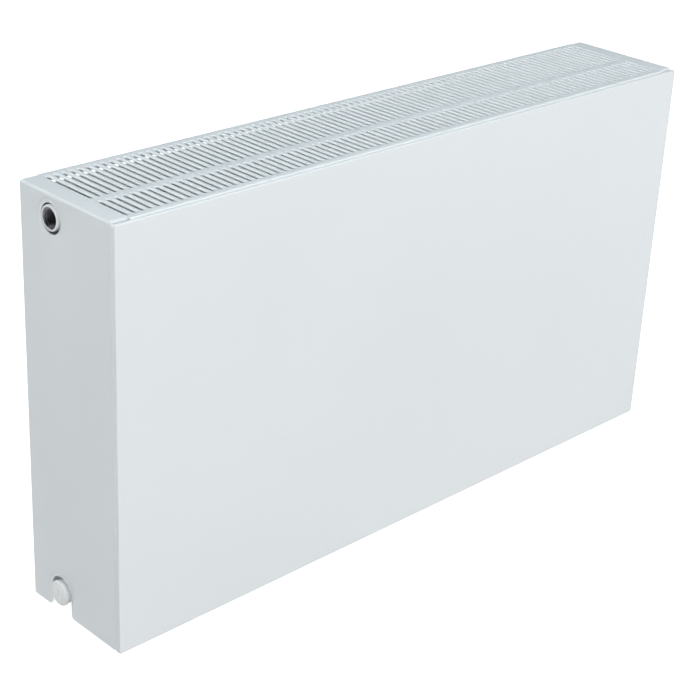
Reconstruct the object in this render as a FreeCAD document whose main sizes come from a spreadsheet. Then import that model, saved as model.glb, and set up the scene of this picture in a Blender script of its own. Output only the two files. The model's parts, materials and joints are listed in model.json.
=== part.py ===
import FreeCAD, Part
import math
import os
import re

import Sketcher

# A flat-front steel panel radiator, three water panels and three convectors deep, with a built-in
# thermostatic valve insert at its upper right end. Lengths are in millimetres.
# X runs along the radiator, to the right as seen from the room; Y runs from the room to the wall;
# Z is up. The origin is under the middle of the casing, on the level of its bottom edge.

DIMENSIONS = [
    ("core_length", 900, "nominal length, over the water panels"),
    ("cover_step", 2, "how far each side cover stands out past the nominal length"),
    ("height", 500, "overall height"),
    ("depth", 160, "overall depth of the casing"),
    ("plate_gauge", 1, "sheet thickness of the front plate"),
    ("plate_flange", 6, "depth of the front plate's return flanges"),
    ("plate_top_flange", 3.6, "depth of its top flange, cut back in front of the grille"),
    ("plate_drop", 1.6, "top of the front plate below the top of the grille"),
    ("plate_corner", 3.5, "corner radius of the front plate"),
    ("plate_bend", 1.5, "bend radius of the front plate"),
    ("cover_gauge", 0.9, "sheet thickness of the side covers"),
    ("cover_front", 6.6, "front edge of the side covers, behind the front plate's face"),
    ("cover_bottom", 2, "bottom edge of the side covers above the base"),
    ("cover_flange", 23.1, "width of the side covers' folded flanges"),
    ("cover_lip", 11, "width of the side covers' front lip"),
    ("cover_lip_end", 10, "upper end of that narrower lip below the top"),
    ("cover_bend", 3.4, "bend radius of the side covers"),
    ("cover_front_corner", 4, "upper front corner radius of the side covers"),
    ("cover_rear_corner", 4, "upper rear corner radius of the side covers"),
    ("tapping_hole", 16.8, "radius of the hole over the free tapping"),
    ("valve_hole", 23, "radius of the hole around the valve cap"),
    ("hole_shift_y", 1.4, "cover hole behind the tapping's axis"),
    ("hole_shift_z", -1.4, "cover hole below the tapping's axis"),
    ("notch_radius", 18, "radius of the notch around the lower plug"),
    ("notch_shift_y", 1.7, "notch centre behind the plug's axis"),
    ("notch_shift_z", 0, "notch centre above the plug's axis"),
    ("notch_foot", 5, "corner radius at the foot of the notch"),
    ("grille_gauge", 1, "sheet thickness of the grille"),
    ("grille_front", 4, "front face of the grille behind the front plate's face"),
    ("grille_skirt", 10, "height of the grille's folded edge"),
    ("grille_bend", 2.2, "bend radius of the grille"),
    ("grille_gap", 0.3, "gap between the grille and each side cover"),
    ("slot_pitch", 10, "spacing of the grille slots"),
    ("slot_width", 4.8, "width of a grille slot"),
    ("slot_rim", 0.8, "thickness of the rim turned down around a slot"),
    ("slot_rim_depth", 1.3, "how far the rim reaches below the sheet"),
    ("front_slot_start", 13.4, "front end of the front row of slots"),
    ("front_slot_end", 59, "rear end of the front row"),
    ("rear_slot_start", 70.4, "front end of the rear row"),
    ("rear_slot_end", 148.5, "rear end of the rear row"),
    ("shell_gauge", 1.2, "sheet thickness of the water panels"),
    ("crest_depth", 6, "depth of each pressed half shell"),
    ("front_seam", 9.5, "seam plane of the front panel"),
    ("middle_seam", 66.5, "seam plane of the middle panel"),
    ("rear_seam", 152.5, "seam plane of the rear panel"),
    ("seam_end", 7, "end of the panel seam inside the nominal length"),
    ("crest_end", 14, "end of the water channels inside the nominal length"),
    ("panel_top", 489.5, "top edge of the water panels"),
    ("header_half", 14, "half height of a header channel"),
    ("channel_pitch", 33.333, "spacing of the vertical water channels"),
    ("channel_width", 22, "width of a vertical water channel"),
    ("tap_low", 28, "height of the lower tapping axis"),
    ("tap_spacing", 446, "distance between the lower and upper tapping axes"),
    ("tap_depth", 105, "tapping axis behind the front plate's face"),
    ("tap_stand", 0.6, "lower boss mouths past the side covers' faces"),
    ("free_stand", 1.6, "mouth of the free upper tapping past the side cover's face"),
    ("tee_inset", 32, "tee centre inside the nominal length"),
    ("boss_radius", 14, "outer radius of tees and bosses"),
    ("water_radius", 9, "bore radius of the water ways"),
    ("thread_radius", 10.48, "nominal radius of the G 1/2 thread"),
    ("thread_depth", 16, "length of the G 1/2 thread"),
    ("mouth_chamfer", 1.2, "chamfer at the mouth of a tapping"),
    ("thread_fit", 0.05, "radial clearance of screwed pieces"),
    ("link_outer", 11, "outer radius of the link pipes"),
    ("fin_gauge", 0.6, "sheet thickness of the convectors"),
    ("fin_bottom", 60, "lower end of the convectors"),
    ("fin_top", 440, "upper end of the convectors"),
    ("front_fin_depth", 36, "depth of the front convector"),
    ("rear_fin_depth", 33, "depth of the two rear convectors"),
    ("fold_lap", 0.01, "overlap that joins one fold to the next"),
    ("fin_crown", 14, "width of a convector fold's crown"),
    ("chamber_radius", 9.3, "bore of the valve housing's chambers"),
    ("seat_length", 6, "length of the valve seat"),
    ("socket_radius", 11, "outer radius of the riser's socket"),
    ("socket_end", 26, "lower end of the socket below the valve's axis"),
    ("socket_floor", 18, "upper end of the riser in its socket, below the valve's axis"),
    ("pipe_fit", 0.05, "radial clearance of brazed pipes and sliding stems"),
    ("valve_port", 404, "cross pipe of the valve housing, from the middle"),
    ("valve_mouth", 440, "mouth of the valve housing, from the middle"),
    ("valve_back", 355, "closed end of the valve housing, from the middle"),
    ("housing_radius", 15, "outer radius of the valve housing"),
    ("seat_radius", 6, "bore radius of the valve seat"),
    ("seat_face", 388, "face of the valve seat, from the middle"),
    ("connector_spacing", 50, "spacing of the two bottom connections"),
    ("connector_face", 4, "lower face of the bottom connections above the base"),
    ("connector_radius", 13.22, "nominal radius of the G 3/4 thread"),
    ("connector_thread", 10, "length of the G 3/4 thread"),
    ("connector_bore", 6.8, "bore of the bottom connections"),
    ("connector_body", 42, "length of the flow connection"),
    ("stay_half", 17, "half width of the strip that holds the flow connection"),
    ("stay_gauge", 3, "thickness of that strip"),
    ("riser_radius", 8, "outer radius of the riser pipe"),
    ("riser_wall", 1.2, "wall of the riser pipe"),
    ("head_radius", 15, "nominal radius of the M30x1.5 head thread"),
    ("hexagon_radius", 14.5, "radius of the insert's flange"),
    ("hexagon_end", 5, "outer end of the insert's flange"),
    ("insert_end", 14, "outer end of the insert"),
    ("gland_bore", 8, "radius of the gland's seat in the insert"),
    ("gland_floor", 7, "floor of the gland's seat"),
    ("gland_start", 9.5, "inner end of the gland nut"),
    ("gland_end", 15.5, "outer end of the gland nut"),
    ("gland_neck", 5.5, "radius of the gland nut's outer end"),
    ("cage_radius", 9, "outer radius of the cage"),
    ("cage_bore", 7.5, "bore of the cage"),
    ("cage_start", 15, "outer end of the cage inside the mouth"),
    ("cage_end", 52, "inner end of the cage, on the valve seat"),
    ("seat_ring", 5, "bore of the ring at the cage's inner end that the disc closes on"),
    ("ledge", 38, "spring's ledge in the cage, inside the mouth"),
    ("ledge_radius", 3, "bore of the spring's ledge"),
    ("wall", 2, "thickness of the ledge, the seat ring and the stem's collar"),
    ("stem_radius", 2.5, "radius of the valve stem"),
    ("stem_end", 19.3, "outer end of the stem"),
    ("stem_tip", 2, "radius of the stem's end that holds the disc"),
    ("collar_place", 24, "inner face of the stem's collar inside the mouth"),
    ("collar_radius", 5.5, "radius of the stem's collar"),
    ("disc_face", 47, "face of the disc inside the mouth, with the valve open"),
    ("disc_gauge", 3, "thickness of the disc"),
    ("disc_radius", 6.4, "radius of the disc"),
    ("coil_radius", 4.3, "middle radius of the spring's coils"),
    ("wire_radius", 0.5, "radius of the spring's wire"),
    ("setting_start", 14.4, "inner face of the presetting ring"),
    ("setting_end", 16.2, "outer face of the presetting ring"),
    ("setting_bore", 6.5, "bore of the presetting ring"),
    ("setting_radius", 12.5, "outer radius of the presetting ring"),
    ("cap_radius", 19, "outer radius of the protective cap"),
    ("cap_start", 8.5, "inner end of the protective cap"),
    ("cap_floor", 19.6, "inner face of the cap's end wall"),
    ("cap_end", 22, "outer face of the cap's end wall"),
    ("rib_radius", 1.1, "radius of a grip rib on the cap"),
    ("screw_start", 2, "start of a screwed piece's thread inside its mouth"),
    ("screw_end", 13, "end of a screwed piece's thread inside its mouth"),
    ("neck_radius", 9.6, "neck between a screwed piece's thread and its flange"),
    ("flange_gap", 0.3, "gap between a mouth and the flange over it"),
    ("ring_radius", 10.25, "middle radius of the O-rings under the flanges"),
    ("ring_cord", 0.6, "cord radius of those O-rings"),
    ("ring_depth", 0.35, "their middle plane inside the mouth"),
    ("plug_flange", 15, "flange radius of a blanking plug"),
    ("plug_rim", 3, "outer end of the plug flange's straight rim"),
    ("plug_crown", 5, "outer end of the plug's dome"),
    ("plug_bore", 5, "radius of the hollow in the plug's thread"),
    ("plug_slot_width", 2.6, "width of the plug's slot"),
    ("plug_slot_floor", 2.6, "floor of the plug's slot outside the mouth"),
    ("plug_slot_length", 14, "length of the plug's slot"),
    ("plug_slot_tilt", 27, "tilt of the plug's slot from upright, in degrees"),
    ("lug_depth", 8, "how far the hanger lugs stand out from the rear panel"),
    ("lug_gauge", 2, "sheet thickness of the hanger lugs"),
    ("lug_width", 46, "width of a hanger lug"),
    ("lug_height", 30, "height of a hanger lug"),
    ("lug_foot", 12, "width of a hanger lug's foot"),
    ("lug_inset", 150, "hanger lug inside the nominal length"),
    ("lug_margin", 40, "hanger lug clear of the tapping axis and of the panel's top"),
    ("strip_half", 4, "half width of an adhesive strip"),
    ("clip_half", 2.8, "half thickness of the clips on the middle panel's seam"),
    ("clip_grip", 5, "how far a cover clip reaches over the seam"),
    ("clip_gap", 0.5, "gap between a clip and what rests on it"),
]
SLOTS = 86
CHANNELS = 26
FRONT_FOLDS = 24
REAR_FOLDS = 22
CAP_RIBS = 24
SPRING_COILS = 6
STRIP_STEPS = (-11.5, -7.5, -2.5, 2.5, 7.5, 11.5)
CLIP_PLACES = (-330, -110, 110, 330)

doc = FreeCAD.newDocument("panel_radiator")
dims = doc.addObject("Spreadsheet::Sheet", "dims")
for row, (alias, size, meaning) in enumerate(DIMENSIONS, start=1):
    dims.set(f"A{row}", meaning)
    dims.set(f"B{row}", str(size))
    dims.setAlias(f"B{row}", alias)
doc.recompute()

# Places that several sub-parts share, as formulas of the sheet's cells.
HALF = "(core_length / 2 + cover_step)"
FRONT = "(-depth / 2)"
REAR = "(depth / 2)"
TAP_Y = "(tap_depth - depth / 2)"
LOW_Z = "tap_low"
HIGH_Z = "(tap_low + tap_spacing)"
TEE_X = "(core_length / 2 - tee_inset)"
FLOW_X = "(core_length / 2 - tee_inset - connector_spacing)"
MOUTH_X = "(core_length / 2 + cover_step + tap_stand)"
FREE_MOUTH_X = "(core_length / 2 + cover_step + free_stand)"
GRILLE_END = "(core_length / 2 + cover_step - cover_flange - grille_gap)"


# ---------------------------------------------------------------------- formulas and sketches

def bound(formula):
    """The formula with each alias written as a reference to its cell."""
    return re.sub(r"[a-z]\w*", lambda word: "dims." + word.group(), str(formula))


def number(formula):
    """The formula's present value."""
    return float(dims.evalExpression(str(formula)))


def behind(distance):
    """Y of a plane that lies this far behind the front plate's face."""
    return f"({distance} - depth / 2)"


def origin_plane(body, role):
    return next(plane for plane in body.Origin.OriginFeatures if plane.Role == role)


def new_body(label):
    body = doc.addObject("PartDesign::Body", label)
    body.Label = label
    return body


def place(part, x=0, y=0, z=0):
    """Bind the part's placement to the formulas x, y and z."""
    for letter, formula in zip("xyz", (x, y, z)):
        part.setExpression(f"Placement.Base.{letter}", bound(formula))
    return part


def new_sketch(body, name, role, offset):
    sketch = body.newObject("Sketcher::SketchObject", name)
    sketch.AttachmentSupport = [(origin_plane(body, role), "")]
    sketch.MapMode = "FlatFace"
    sketch.setExpression("AttachmentOffset.Base.z", bound(offset))
    return sketch


def pin_point(sketch, geometry, point, across, up):
    """Bind one point's two coordinates in the sketch to formulas."""
    for kind, formula in (("DistanceX", across), ("DistanceY", up)):
        index = sketch.addConstraint(Sketcher.Constraint(kind, geometry, point, number(formula)))
        sketch.setExpression(f"Constraints[{index}]", bound(formula))


def polygon(*points):
    """An outline of straight lines through points given as pairs of formulas."""
    def draw(sketch):
        corners = [FreeCAD.Vector(number(across), number(up), 0) for across, up in points]
        first = sketch.GeometryCount
        for corner, following in zip(corners, corners[1:] + corners[:1]):
            sketch.addGeometry(Part.LineSegment(corner, following))
        count = len(corners)
        for index, (across, up) in enumerate(points):
            before = first + (index - 1) % count
            sketch.addConstraint(Sketcher.Constraint("Coincident", before, 2, first + index, 1))
            pin_point(sketch, first + index, 1, across, up)
    return draw


def rectangle(left, right, low, high):
    return polygon((left, low), (right, low), (right, high), (left, high))


def circle(across, up, radius):
    def draw(sketch):
        centre = FreeCAD.Vector(number(across), number(up), 0)
        index = sketch.addGeometry(Part.Circle(centre, FreeCAD.Vector(0, 0, 1), number(radius)))
        pin_point(sketch, index, 3, across, up)
        bend = sketch.addConstraint(Sketcher.Constraint("Radius", index, number(radius)))
        sketch.setExpression(f"Constraints[{bend}]", bound(radius))
    return draw


def long_slot(across, low, high, width):
    """An outline with two straight sides and two round ends, upright in the sketch."""
    def draw(sketch):
        half = number(width) / 2
        x_middle = number(across)
        y_low = number(low) + half
        y_high = number(high) - half
        up = FreeCAD.Vector(0, 0, 1)
        first = sketch.GeometryCount
        top = Part.Circle(FreeCAD.Vector(x_middle, y_high, 0), up, half)
        foot = Part.Circle(FreeCAD.Vector(x_middle, y_low, 0), up, half)
        sketch.addGeometry(Part.ArcOfCircle(top, 0, math.pi))
        sketch.addGeometry(Part.LineSegment(FreeCAD.Vector(x_middle - half, y_high, 0),
                                            FreeCAD.Vector(x_middle - half, y_low, 0)))
        sketch.addGeometry(Part.ArcOfCircle(foot, math.pi, 2 * math.pi))
        sketch.addGeometry(Part.LineSegment(FreeCAD.Vector(x_middle + half, y_low, 0),
                                            FreeCAD.Vector(x_middle + half, y_high, 0)))
        for index in range(4):
            following = first + (index + 1) % 4
            sketch.addConstraint(Sketcher.Constraint("Tangent", first + index, 2, following, 1))
        pin_point(sketch, first, 3, across, f"({high}) - ({width}) / 2")
        pin_point(sketch, first + 2, 3, across, f"({low}) + ({width}) / 2")
        bend = sketch.addConstraint(Sketcher.Constraint("Radius", first, half))
        sketch.setExpression(f"Constraints[{bend}]", bound(f"({width}) / 2"))
    return draw


# ---------------------------------------------------------------------- features

NORMALS = {"XY_Plane": 1, "XZ_Plane": -1, "YZ_Plane": 1}


def slab(body, name, role, outlines, low, high, cut=False):
    """Add, or cut, the outlines between two heights along the normal of the named plane.

    The heights are coordinates along +X, +Y or +Z; the XZ plane's own normal points along -Y.
    """
    start = low if NORMALS[role] > 0 else f"-({high})"
    sketch = new_sketch(body, name + "_outline", role, start)
    for draw in outlines if isinstance(outlines, (list, tuple)) else [outlines]:
        draw(sketch)
    feature = body.newObject("PartDesign::Pocket" if cut else "PartDesign::Pad", name)
    feature.Profile = sketch
    feature.setExpression("Length", bound(f"({high}) - ({low})"))
    feature.Reversed = cut
    sketch.Visibility = False
    body.Tip = feature
    return feature


def turned(body, name, points, upright=False, cut=False):
    """A ring or shaft turned about X, or about Z when upright, from (along, radius) points."""
    sketch = new_sketch(body, name + "_profile", "XZ_Plane", "0")
    profile = [(radius, along) if upright else (along, radius) for along, radius in points]
    polygon(*profile)(sketch)
    feature = body.newObject("PartDesign::Groove" if cut else "PartDesign::Revolution", name)
    feature.Profile = sketch
    feature.ReferenceAxis = (sketch, ["V_Axis" if upright else "H_Axis"])
    feature.Angle = 360
    sketch.Visibility = False
    body.Tip = feature
    return feature


def repeated(body, feature, axis_role, length, count):
    """Repeat a feature along one of the body's axes."""
    pattern = body.newObject("PartDesign::LinearPattern", feature.Name + "_row")
    pattern.Originals = [feature]
    pattern.Direction = (origin_plane(body, axis_role), [""])
    pattern.Occurrences = count
    pattern.setExpression("Length", bound(length))
    body.Tip = pattern
    return pattern


def rounded(body, name, radius, chosen):
    """Round the edges of the present shape that the test `chosen` accepts."""
    doc.recompute()
    base = body.Tip
    names = [f"Edge{index}" for index, edge in enumerate(base.Shape.Edges, start=1) if chosen(edge)]
    if not names:
        raise ValueError(f"{body.Label}: no edge to round for {name}")
    fillet = body.newObject("PartDesign::Fillet", name)
    fillet.Base = (base, names)
    fillet.setExpression("Radius", bound(radius))
    body.Tip = fillet
    return fillet


def near(first, second):
    return abs(first - second) < 1e-4


def spans(edge, axis):
    """The edge's extent along X, Y or Z."""
    box = edge.BoundBox
    return {"x": box.XLength, "y": box.YLength, "z": box.ZLength}[axis]


# ---------------------------------------------------------------------- casing

def front_plate():
    """A shallow tray of sheet: flat face, return flanges all round, its top flange cut back."""
    body = new_body("front_plate")
    top = "(height - plate_drop)"
    back = behind("plate_flange")
    slab(body, "plate_block", "XZ_Plane", rectangle(f"-{HALF}", HALF, "0", top), FRONT, back)
    rounded(body, "plate_corners", "plate_corner",
            lambda edge: spans(edge, "y") > 1 and spans(edge, "x") + spans(edge, "z") < 1e-6)
    face = number(FRONT)
    rounded(body, "plate_bends", "plate_bend",
            lambda edge: near(edge.BoundBox.YMax, face) and near(edge.BoundBox.YMin, face))
    inside = f"({HALF} - plate_gauge)"
    slab(body, "plate_hollow", "XZ_Plane",
         rectangle(f"-{inside}", inside, "plate_gauge", f"{top} - plate_gauge"),
         behind("plate_gauge"), behind("plate_flange + 1"), cut=True)
    reach = f"({HALF} - plate_corner)"
    slab(body, "plate_top_trim", "XZ_Plane",
         rectangle(f"-{reach}", reach, f"{top} - plate_gauge - 1", f"{top} + 1"),
         behind("plate_top_flange"), behind("plate_flange + 1"), cut=True)


def side_cover(label, side, hole, shift_y, shift_z):
    """A folded sheet cover: side face, front lip, top and rear flanges, open at the bottom."""
    body = new_body(label)
    sign = "-" if side < 0 else ""

    def between(outer, inner):
        """Lowest and highest X of a slice from `outer` to `inner` inside the cover's face."""
        ends = [f"{sign}({HALF} - ({outer}))", f"{sign}({HALF} - ({inner}))"]
        return ends if side < 0 else ends[::-1]

    front = behind("cover_front")
    slab(body, "cover_block", "YZ_Plane", rectangle(front, REAR, "cover_bottom", "height"),
         *between("0", "cover_flange"))
    inner_front = behind("cover_front + cover_gauge")
    inner_rear = "(depth / 2 - cover_gauge)"
    slab(body, "cover_hollow", "YZ_Plane",
         rectangle(inner_front, inner_rear, "cover_bottom - 1", "height - cover_gauge"),
         *between("cover_gauge", "cover_flange + 1"), cut=True)

    def along_x(y, z):
        """A test for the edge that runs along X at this Y and Z."""
        return lambda edge: (near(edge.BoundBox.YMin, y) and near(edge.BoundBox.YMax, y)
                             and near(edge.BoundBox.ZMin, z) and near(edge.BoundBox.ZMax, z))

    top = number("height")
    under = number("height - cover_gauge")
    rounded(body, "rear_corner", "cover_rear_corner", along_x(number(REAR), top))
    rounded(body, "front_corner", "cover_front_corner", along_x(number(front), top))
    rounded(body, "inner_rear_corner", "cover_rear_corner - cover_gauge", along_x(number(inner_rear), under))
    rounded(body, "inner_front_corner", "cover_front_corner - cover_gauge", along_x(number(inner_front), under))
    face = side * number(HALF)

    def face_edge(x):
        """A test for the edges above the foot that lie in the plane at this X."""
        return lambda edge: (near(edge.BoundBox.XMin, x) and near(edge.BoundBox.XMax, x)
                             and edge.BoundBox.ZMax > number("cover_bottom") + 1)

    rounded(body, "face_bends", "cover_bend", face_edge(face))
    rounded(body, "inner_bends", "cover_bend - cover_gauge", face_edge(face - side * number("cover_gauge")))
    slab(body, "lip_trim", "YZ_Plane",
         rectangle(behind("cover_front - 1"), behind("cover_front + cover_gauge + 1"),
                   "cover_bottom - 1", "height - cover_lip_end"),
         *between("cover_lip", "cover_flange + 1"), cut=True)
    skin = between("-1", "cover_gauge + 1")
    slab(body, "upper_hole", "YZ_Plane",
         circle(f"{TAP_Y} + {shift_y}", f"{HIGH_Z} + {shift_z}", hole), *skin, cut=True)
    notch_y = f"({TAP_Y} + notch_shift_y)"
    slab(body, "notch_head", "YZ_Plane",
         circle(notch_y, "tap_low + notch_shift_z", "notch_radius"), *skin, cut=True)
    slab(body, "notch_throat", "YZ_Plane",
         rectangle(f"{notch_y} - notch_radius", f"{notch_y} + notch_radius",
                   "cover_bottom - 1", "tap_low + notch_shift_z"), *skin, cut=True)
    foot = number("cover_bottom")
    middle = number(notch_y)
    half = number("notch_radius")

    def notch_foot(edge):
        box = edge.BoundBox
        beside = near(abs(box.YMin - middle), half) and near(box.YMin, box.YMax)
        return beside and near(box.ZMin, foot) and near(box.ZMax, foot)

    rounded(body, "notch_feet", "notch_foot", notch_foot)


def top_grille():
    """A pressed cover with two rows of slots, each slot with a rim turned down around it."""
    body = new_body("top_grille")
    front = behind("grille_front")
    foot = "(height - grille_skirt)"
    slab(body, "grille_block", "XY_Plane", rectangle(f"-{GRILLE_END}", GRILLE_END, front, REAR),
         foot, "height")
    top = number("height")
    rounded(body, "grille_bends", "grille_bend",
            lambda edge: near(edge.BoundBox.ZMin, top) and spans(edge, "x") > 1)
    inside = f"({GRILLE_END} - grille_gauge)"
    slab(body, "grille_hollow", "XY_Plane",
         rectangle(f"-{inside}", inside, f"{front} + grille_gauge", f"{REAR} - grille_gauge"),
         f"{foot} - 1", "height - grille_gauge", cut=True)
    first = f"(-slot_pitch * {SLOTS - 1} / 2)"
    span = f"slot_pitch * {SLOTS - 1}"
    under = "(height - grille_gauge - slot_rim_depth)"
    rims = [long_slot(first, behind("front_slot_start - slot_rim"),
                      behind("front_slot_end + slot_rim"), "slot_width + 2 * slot_rim"),
            long_slot(first, behind("rear_slot_start - slot_rim"),
                      behind("rear_slot_end + slot_rim"), "slot_width + 2 * slot_rim")]
    rim = slab(body, "slot_rims", "XY_Plane", rims, under, "height - grille_gauge / 2")
    repeated(body, rim, "X_Axis", span, SLOTS)
    openings = [long_slot(first, behind("front_slot_start"), behind("front_slot_end"), "slot_width"),
                long_slot(first, behind("rear_slot_start"), behind("rear_slot_end"), "slot_width")]
    slots = slab(body, "slots", "XY_Plane", openings, f"{under} - 1", "height + 1", cut=True)
    repeated(body, slots, "X_Axis", span, SLOTS)


# ---------------------------------------------------------------------- water panels

def half_shell(label, seam, side, ports):
    """One pressed half of a water panel: two headers joined by vertical channels, and its seam."""
    body = new_body(label)

    def between(near_seam, far):
        """Lowest and highest Y of a slice measured away from the seam plane."""
        ends = [f"({seam} - depth / 2 + {side} * ({near_seam}))",
                f"({seam} - depth / 2 + {side} * ({far}))"]
        return ends if side > 0 else ends[::-1]

    seam_x = "(core_length / 2 - seam_end)"
    crest_x = "(core_length / 2 - crest_end)"
    slab(body, "seam_sheet", "XZ_Plane", rectangle(f"-{seam_x}", seam_x, "0", "panel_top"),
         *between("0", "shell_gauge"))
    slab(body, "crest", "XZ_Plane",
         rectangle(f"-{crest_x}", crest_x, f"{LOW_Z} - header_half", f"{HIGH_Z} + header_half"),
         *between("0", "crest_depth"))
    half_window = "(channel_pitch - channel_width) / 2"
    first = f"(-channel_pitch * {CHANNELS - 2} / 2)"
    window = slab(body, "valley", "XZ_Plane",
                  rectangle(f"{first} - {half_window}", f"{first} + {half_window}",
                            f"{LOW_Z} + header_half", f"{HIGH_Z} - header_half"),
                  *between("shell_gauge", "crest_depth + 1"), cut=True)
    repeated(body, window, "X_Axis", f"channel_pitch * {CHANNELS - 2}", CHANNELS - 1)
    inner_x = f"({crest_x} - shell_gauge)"
    headers = [rectangle(f"-{inner_x}", inner_x, f"{axis} - header_half + shell_gauge",
                         f"{axis} + header_half - shell_gauge") for axis in (LOW_Z, HIGH_Z)]
    slab(body, "headers", "XZ_Plane", headers, *between("-1", "crest_depth - shell_gauge"), cut=True)
    half_way = "(channel_width / 2 - shell_gauge)"
    first_way = f"(-channel_pitch * {CHANNELS - 1} / 2)"
    way = slab(body, "water_way", "XZ_Plane",
               rectangle(f"{first_way} - {half_way}", f"{first_way} + {half_way}", LOW_Z, HIGH_Z),
               *between("-1", "crest_depth - shell_gauge"), cut=True)
    repeated(body, way, "X_Axis", f"channel_pitch * {CHANNELS - 1}", CHANNELS)
    if ports:
        holes = [circle(x, z, "water_radius") for x, z in corner_places()]
        slab(body, "ports", "XZ_Plane", holes, *between("crest_depth - shell_gauge - 1",
                                                        "crest_depth + 1"), cut=True)


def corner_places():
    """X and Z of the four places where water passes between the panels."""
    return [(f"-{TEE_X}", LOW_Z), (f"-{TEE_X}", HIGH_Z), (TEE_X, LOW_Z), ("valve_port", HIGH_Z)]


def convector(label, seam, side, fold_depth, folds, middle):
    """A folded sheet of upright fins, welded to the crests of one water panel."""
    body = new_body(label)
    base = f"({seam} - depth / 2 + {side} * crest_depth)"

    def away(distance):
        return f"({base} + {side} * ({distance}))"

    first = f"({middle} - channel_pitch * {folds - 1} / 2)"
    left_end = f"{first} - channel_pitch / 2 - fold_lap"
    left = f"{first} - fin_crown / 2"
    right = f"{first} + fin_crown / 2"
    right_end = f"{first} + channel_pitch / 2 + fold_lap"
    foot, crown = away("0"), away(fold_depth)
    foot_inside, crown_inside = away("fin_gauge"), away(f"{fold_depth} - fin_gauge")
    fold = slab(body, "fold", "XY_Plane",
                polygon((left_end, foot), (left, foot), (left, crown_inside), (right, crown_inside),
                        (right, foot), (right_end, foot), (right_end, foot_inside),
                        (f"{right} + fin_gauge", foot_inside), (f"{right} + fin_gauge", crown),
                        (f"{left} - fin_gauge", crown), (f"{left} - fin_gauge", foot_inside),
                        (left_end, foot_inside)),
                "fin_bottom", "fin_top")
    repeated(body, fold, "X_Axis", f"channel_pitch * {folds - 1}", folds)


def tee(label, side, height_at, mouth=MOUTH_X, branch_down=False):
    """A connector between the middle and rear panels with a threaded boss at the casing's end."""
    body = new_body(label)
    front = "(middle_seam + crest_depth - tap_depth)"
    rear = "(rear_seam - crest_depth - tap_depth)"
    reach = f"({mouth} - {TEE_X})"

    def along(low, high):
        """A stretch measured outwards from the tee's centre, as its lowest and highest X."""
        return (low, high) if side > 0 else (f"-({high})", f"-({low})")

    slab(body, "cross_pipe", "XZ_Plane", circle("0", "0", "boss_radius"), front, rear)
    slab(body, "boss", "YZ_Plane", circle("0", "0", "boss_radius"), *along("0", reach))
    slab(body, "cross_bore", "XZ_Plane", circle("0", "0", "water_radius"),
         f"{front} - 1", f"{rear} + 1", cut=True)
    slab(body, "boss_bore", "YZ_Plane", circle("0", "0", "water_radius"),
         *along("0", f"{reach} - thread_depth + 1"), cut=True)
    sign = "" if side > 0 else "-"
    turned(body, "threaded_mouth",
           [(f"{sign}({reach} - thread_depth)", "0"),
            (f"{sign}({reach} - thread_depth)", "thread_radius"),
            (f"{sign}({reach} - mouth_chamfer)", "thread_radius"),
            (f"{sign}{reach}", "thread_radius + mouth_chamfer"),
            (f"{sign}({reach} + 1)", "thread_radius + mouth_chamfer"), (f"{sign}({reach} + 1)", "0")],
           cut=True)
    if branch_down:
        slab(body, "branch_bore", "XY_Plane", circle("0", "0", "water_radius"),
             "-boss_radius - 1", "0", cut=True)
    place(body, f"{'' if side > 0 else '-'}{TEE_X}", TAP_Y, height_at)


def link_pipe(label, x, z):
    """A short pipe that joins the front and middle panels."""
    body = new_body(label)
    low = behind("front_seam + crest_depth")
    high = behind("middle_seam - crest_depth")
    slab(body, "pipe", "XZ_Plane", circle("0", "0", "link_outer"), low, high)
    slab(body, "bore", "XZ_Plane", circle("0", "0", "water_radius"), f"{low} - 1", f"{high} + 1", cut=True)
    place(body, x, 0, z)


# ---------------------------------------------------------------------- blanking plugs

def blanking_plug(label, side, height_at):
    """A screw plug with a domed, slotted flange, its thread inside the boss."""
    body = new_body(label)
    sign = "" if side > 0 else "-"

    def out(distance):
        return f"{sign}({distance})"

    thread = "thread_radius - thread_fit"
    turned(body, "plug_body",
           [(out("-screw_end"), "plug_bore"), (out("-screw_end"), thread),
            (out("-screw_start"), thread), (out("-screw_start"), "neck_radius"),
            (out("flange_gap"), "neck_radius"), (out("flange_gap"), "plug_flange"),
            (out("plug_rim"), "plug_flange"), (out("plug_crown - 1.4"), "plug_flange - 2"),
            (out("plug_crown - 0.4"), "plug_flange - 5"), (out("plug_crown"), "plug_flange - 9"),
            (out("plug_crown"), "0"), (out("-screw_start - 1"), "0"),
            (out("-screw_start - 1"), "plug_bore")])
    ends = (out("plug_slot_floor"), out("plug_crown + 1"))
    slab(body, "slot", "XY_Plane",
         rectangle(*(ends if side > 0 else ends[::-1]), "-plug_slot_width / 2", "plug_slot_width / 2"),
         "-plug_slot_length / 2", "plug_slot_length / 2", cut=True)
    place(body, f"{sign}{MOUTH_X}", TAP_Y, height_at)
    tilt = FreeCAD.Rotation(FreeCAD.Vector(1, 0, 0), -number("plug_slot_tilt"))
    body.Placement = FreeCAD.Placement(body.Placement.Base, tilt)


def flange_ring(label, x, z):
    """An O-ring under a screwed piece's flange, in the chamfer of the mouth."""
    ring = doc.addObject("Part::Torus", label)
    ring.Label = label
    ring.setExpression("Radius1", bound("ring_radius"))
    ring.setExpression("Radius2", bound("ring_cord"))
    place(ring, x, TAP_Y, z)
    ring.Placement.Rotation = FreeCAD.Rotation(FreeCAD.Vector(0, 1, 0), 90)


# ---------------------------------------------------------------------- valve at the upper right

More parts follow.
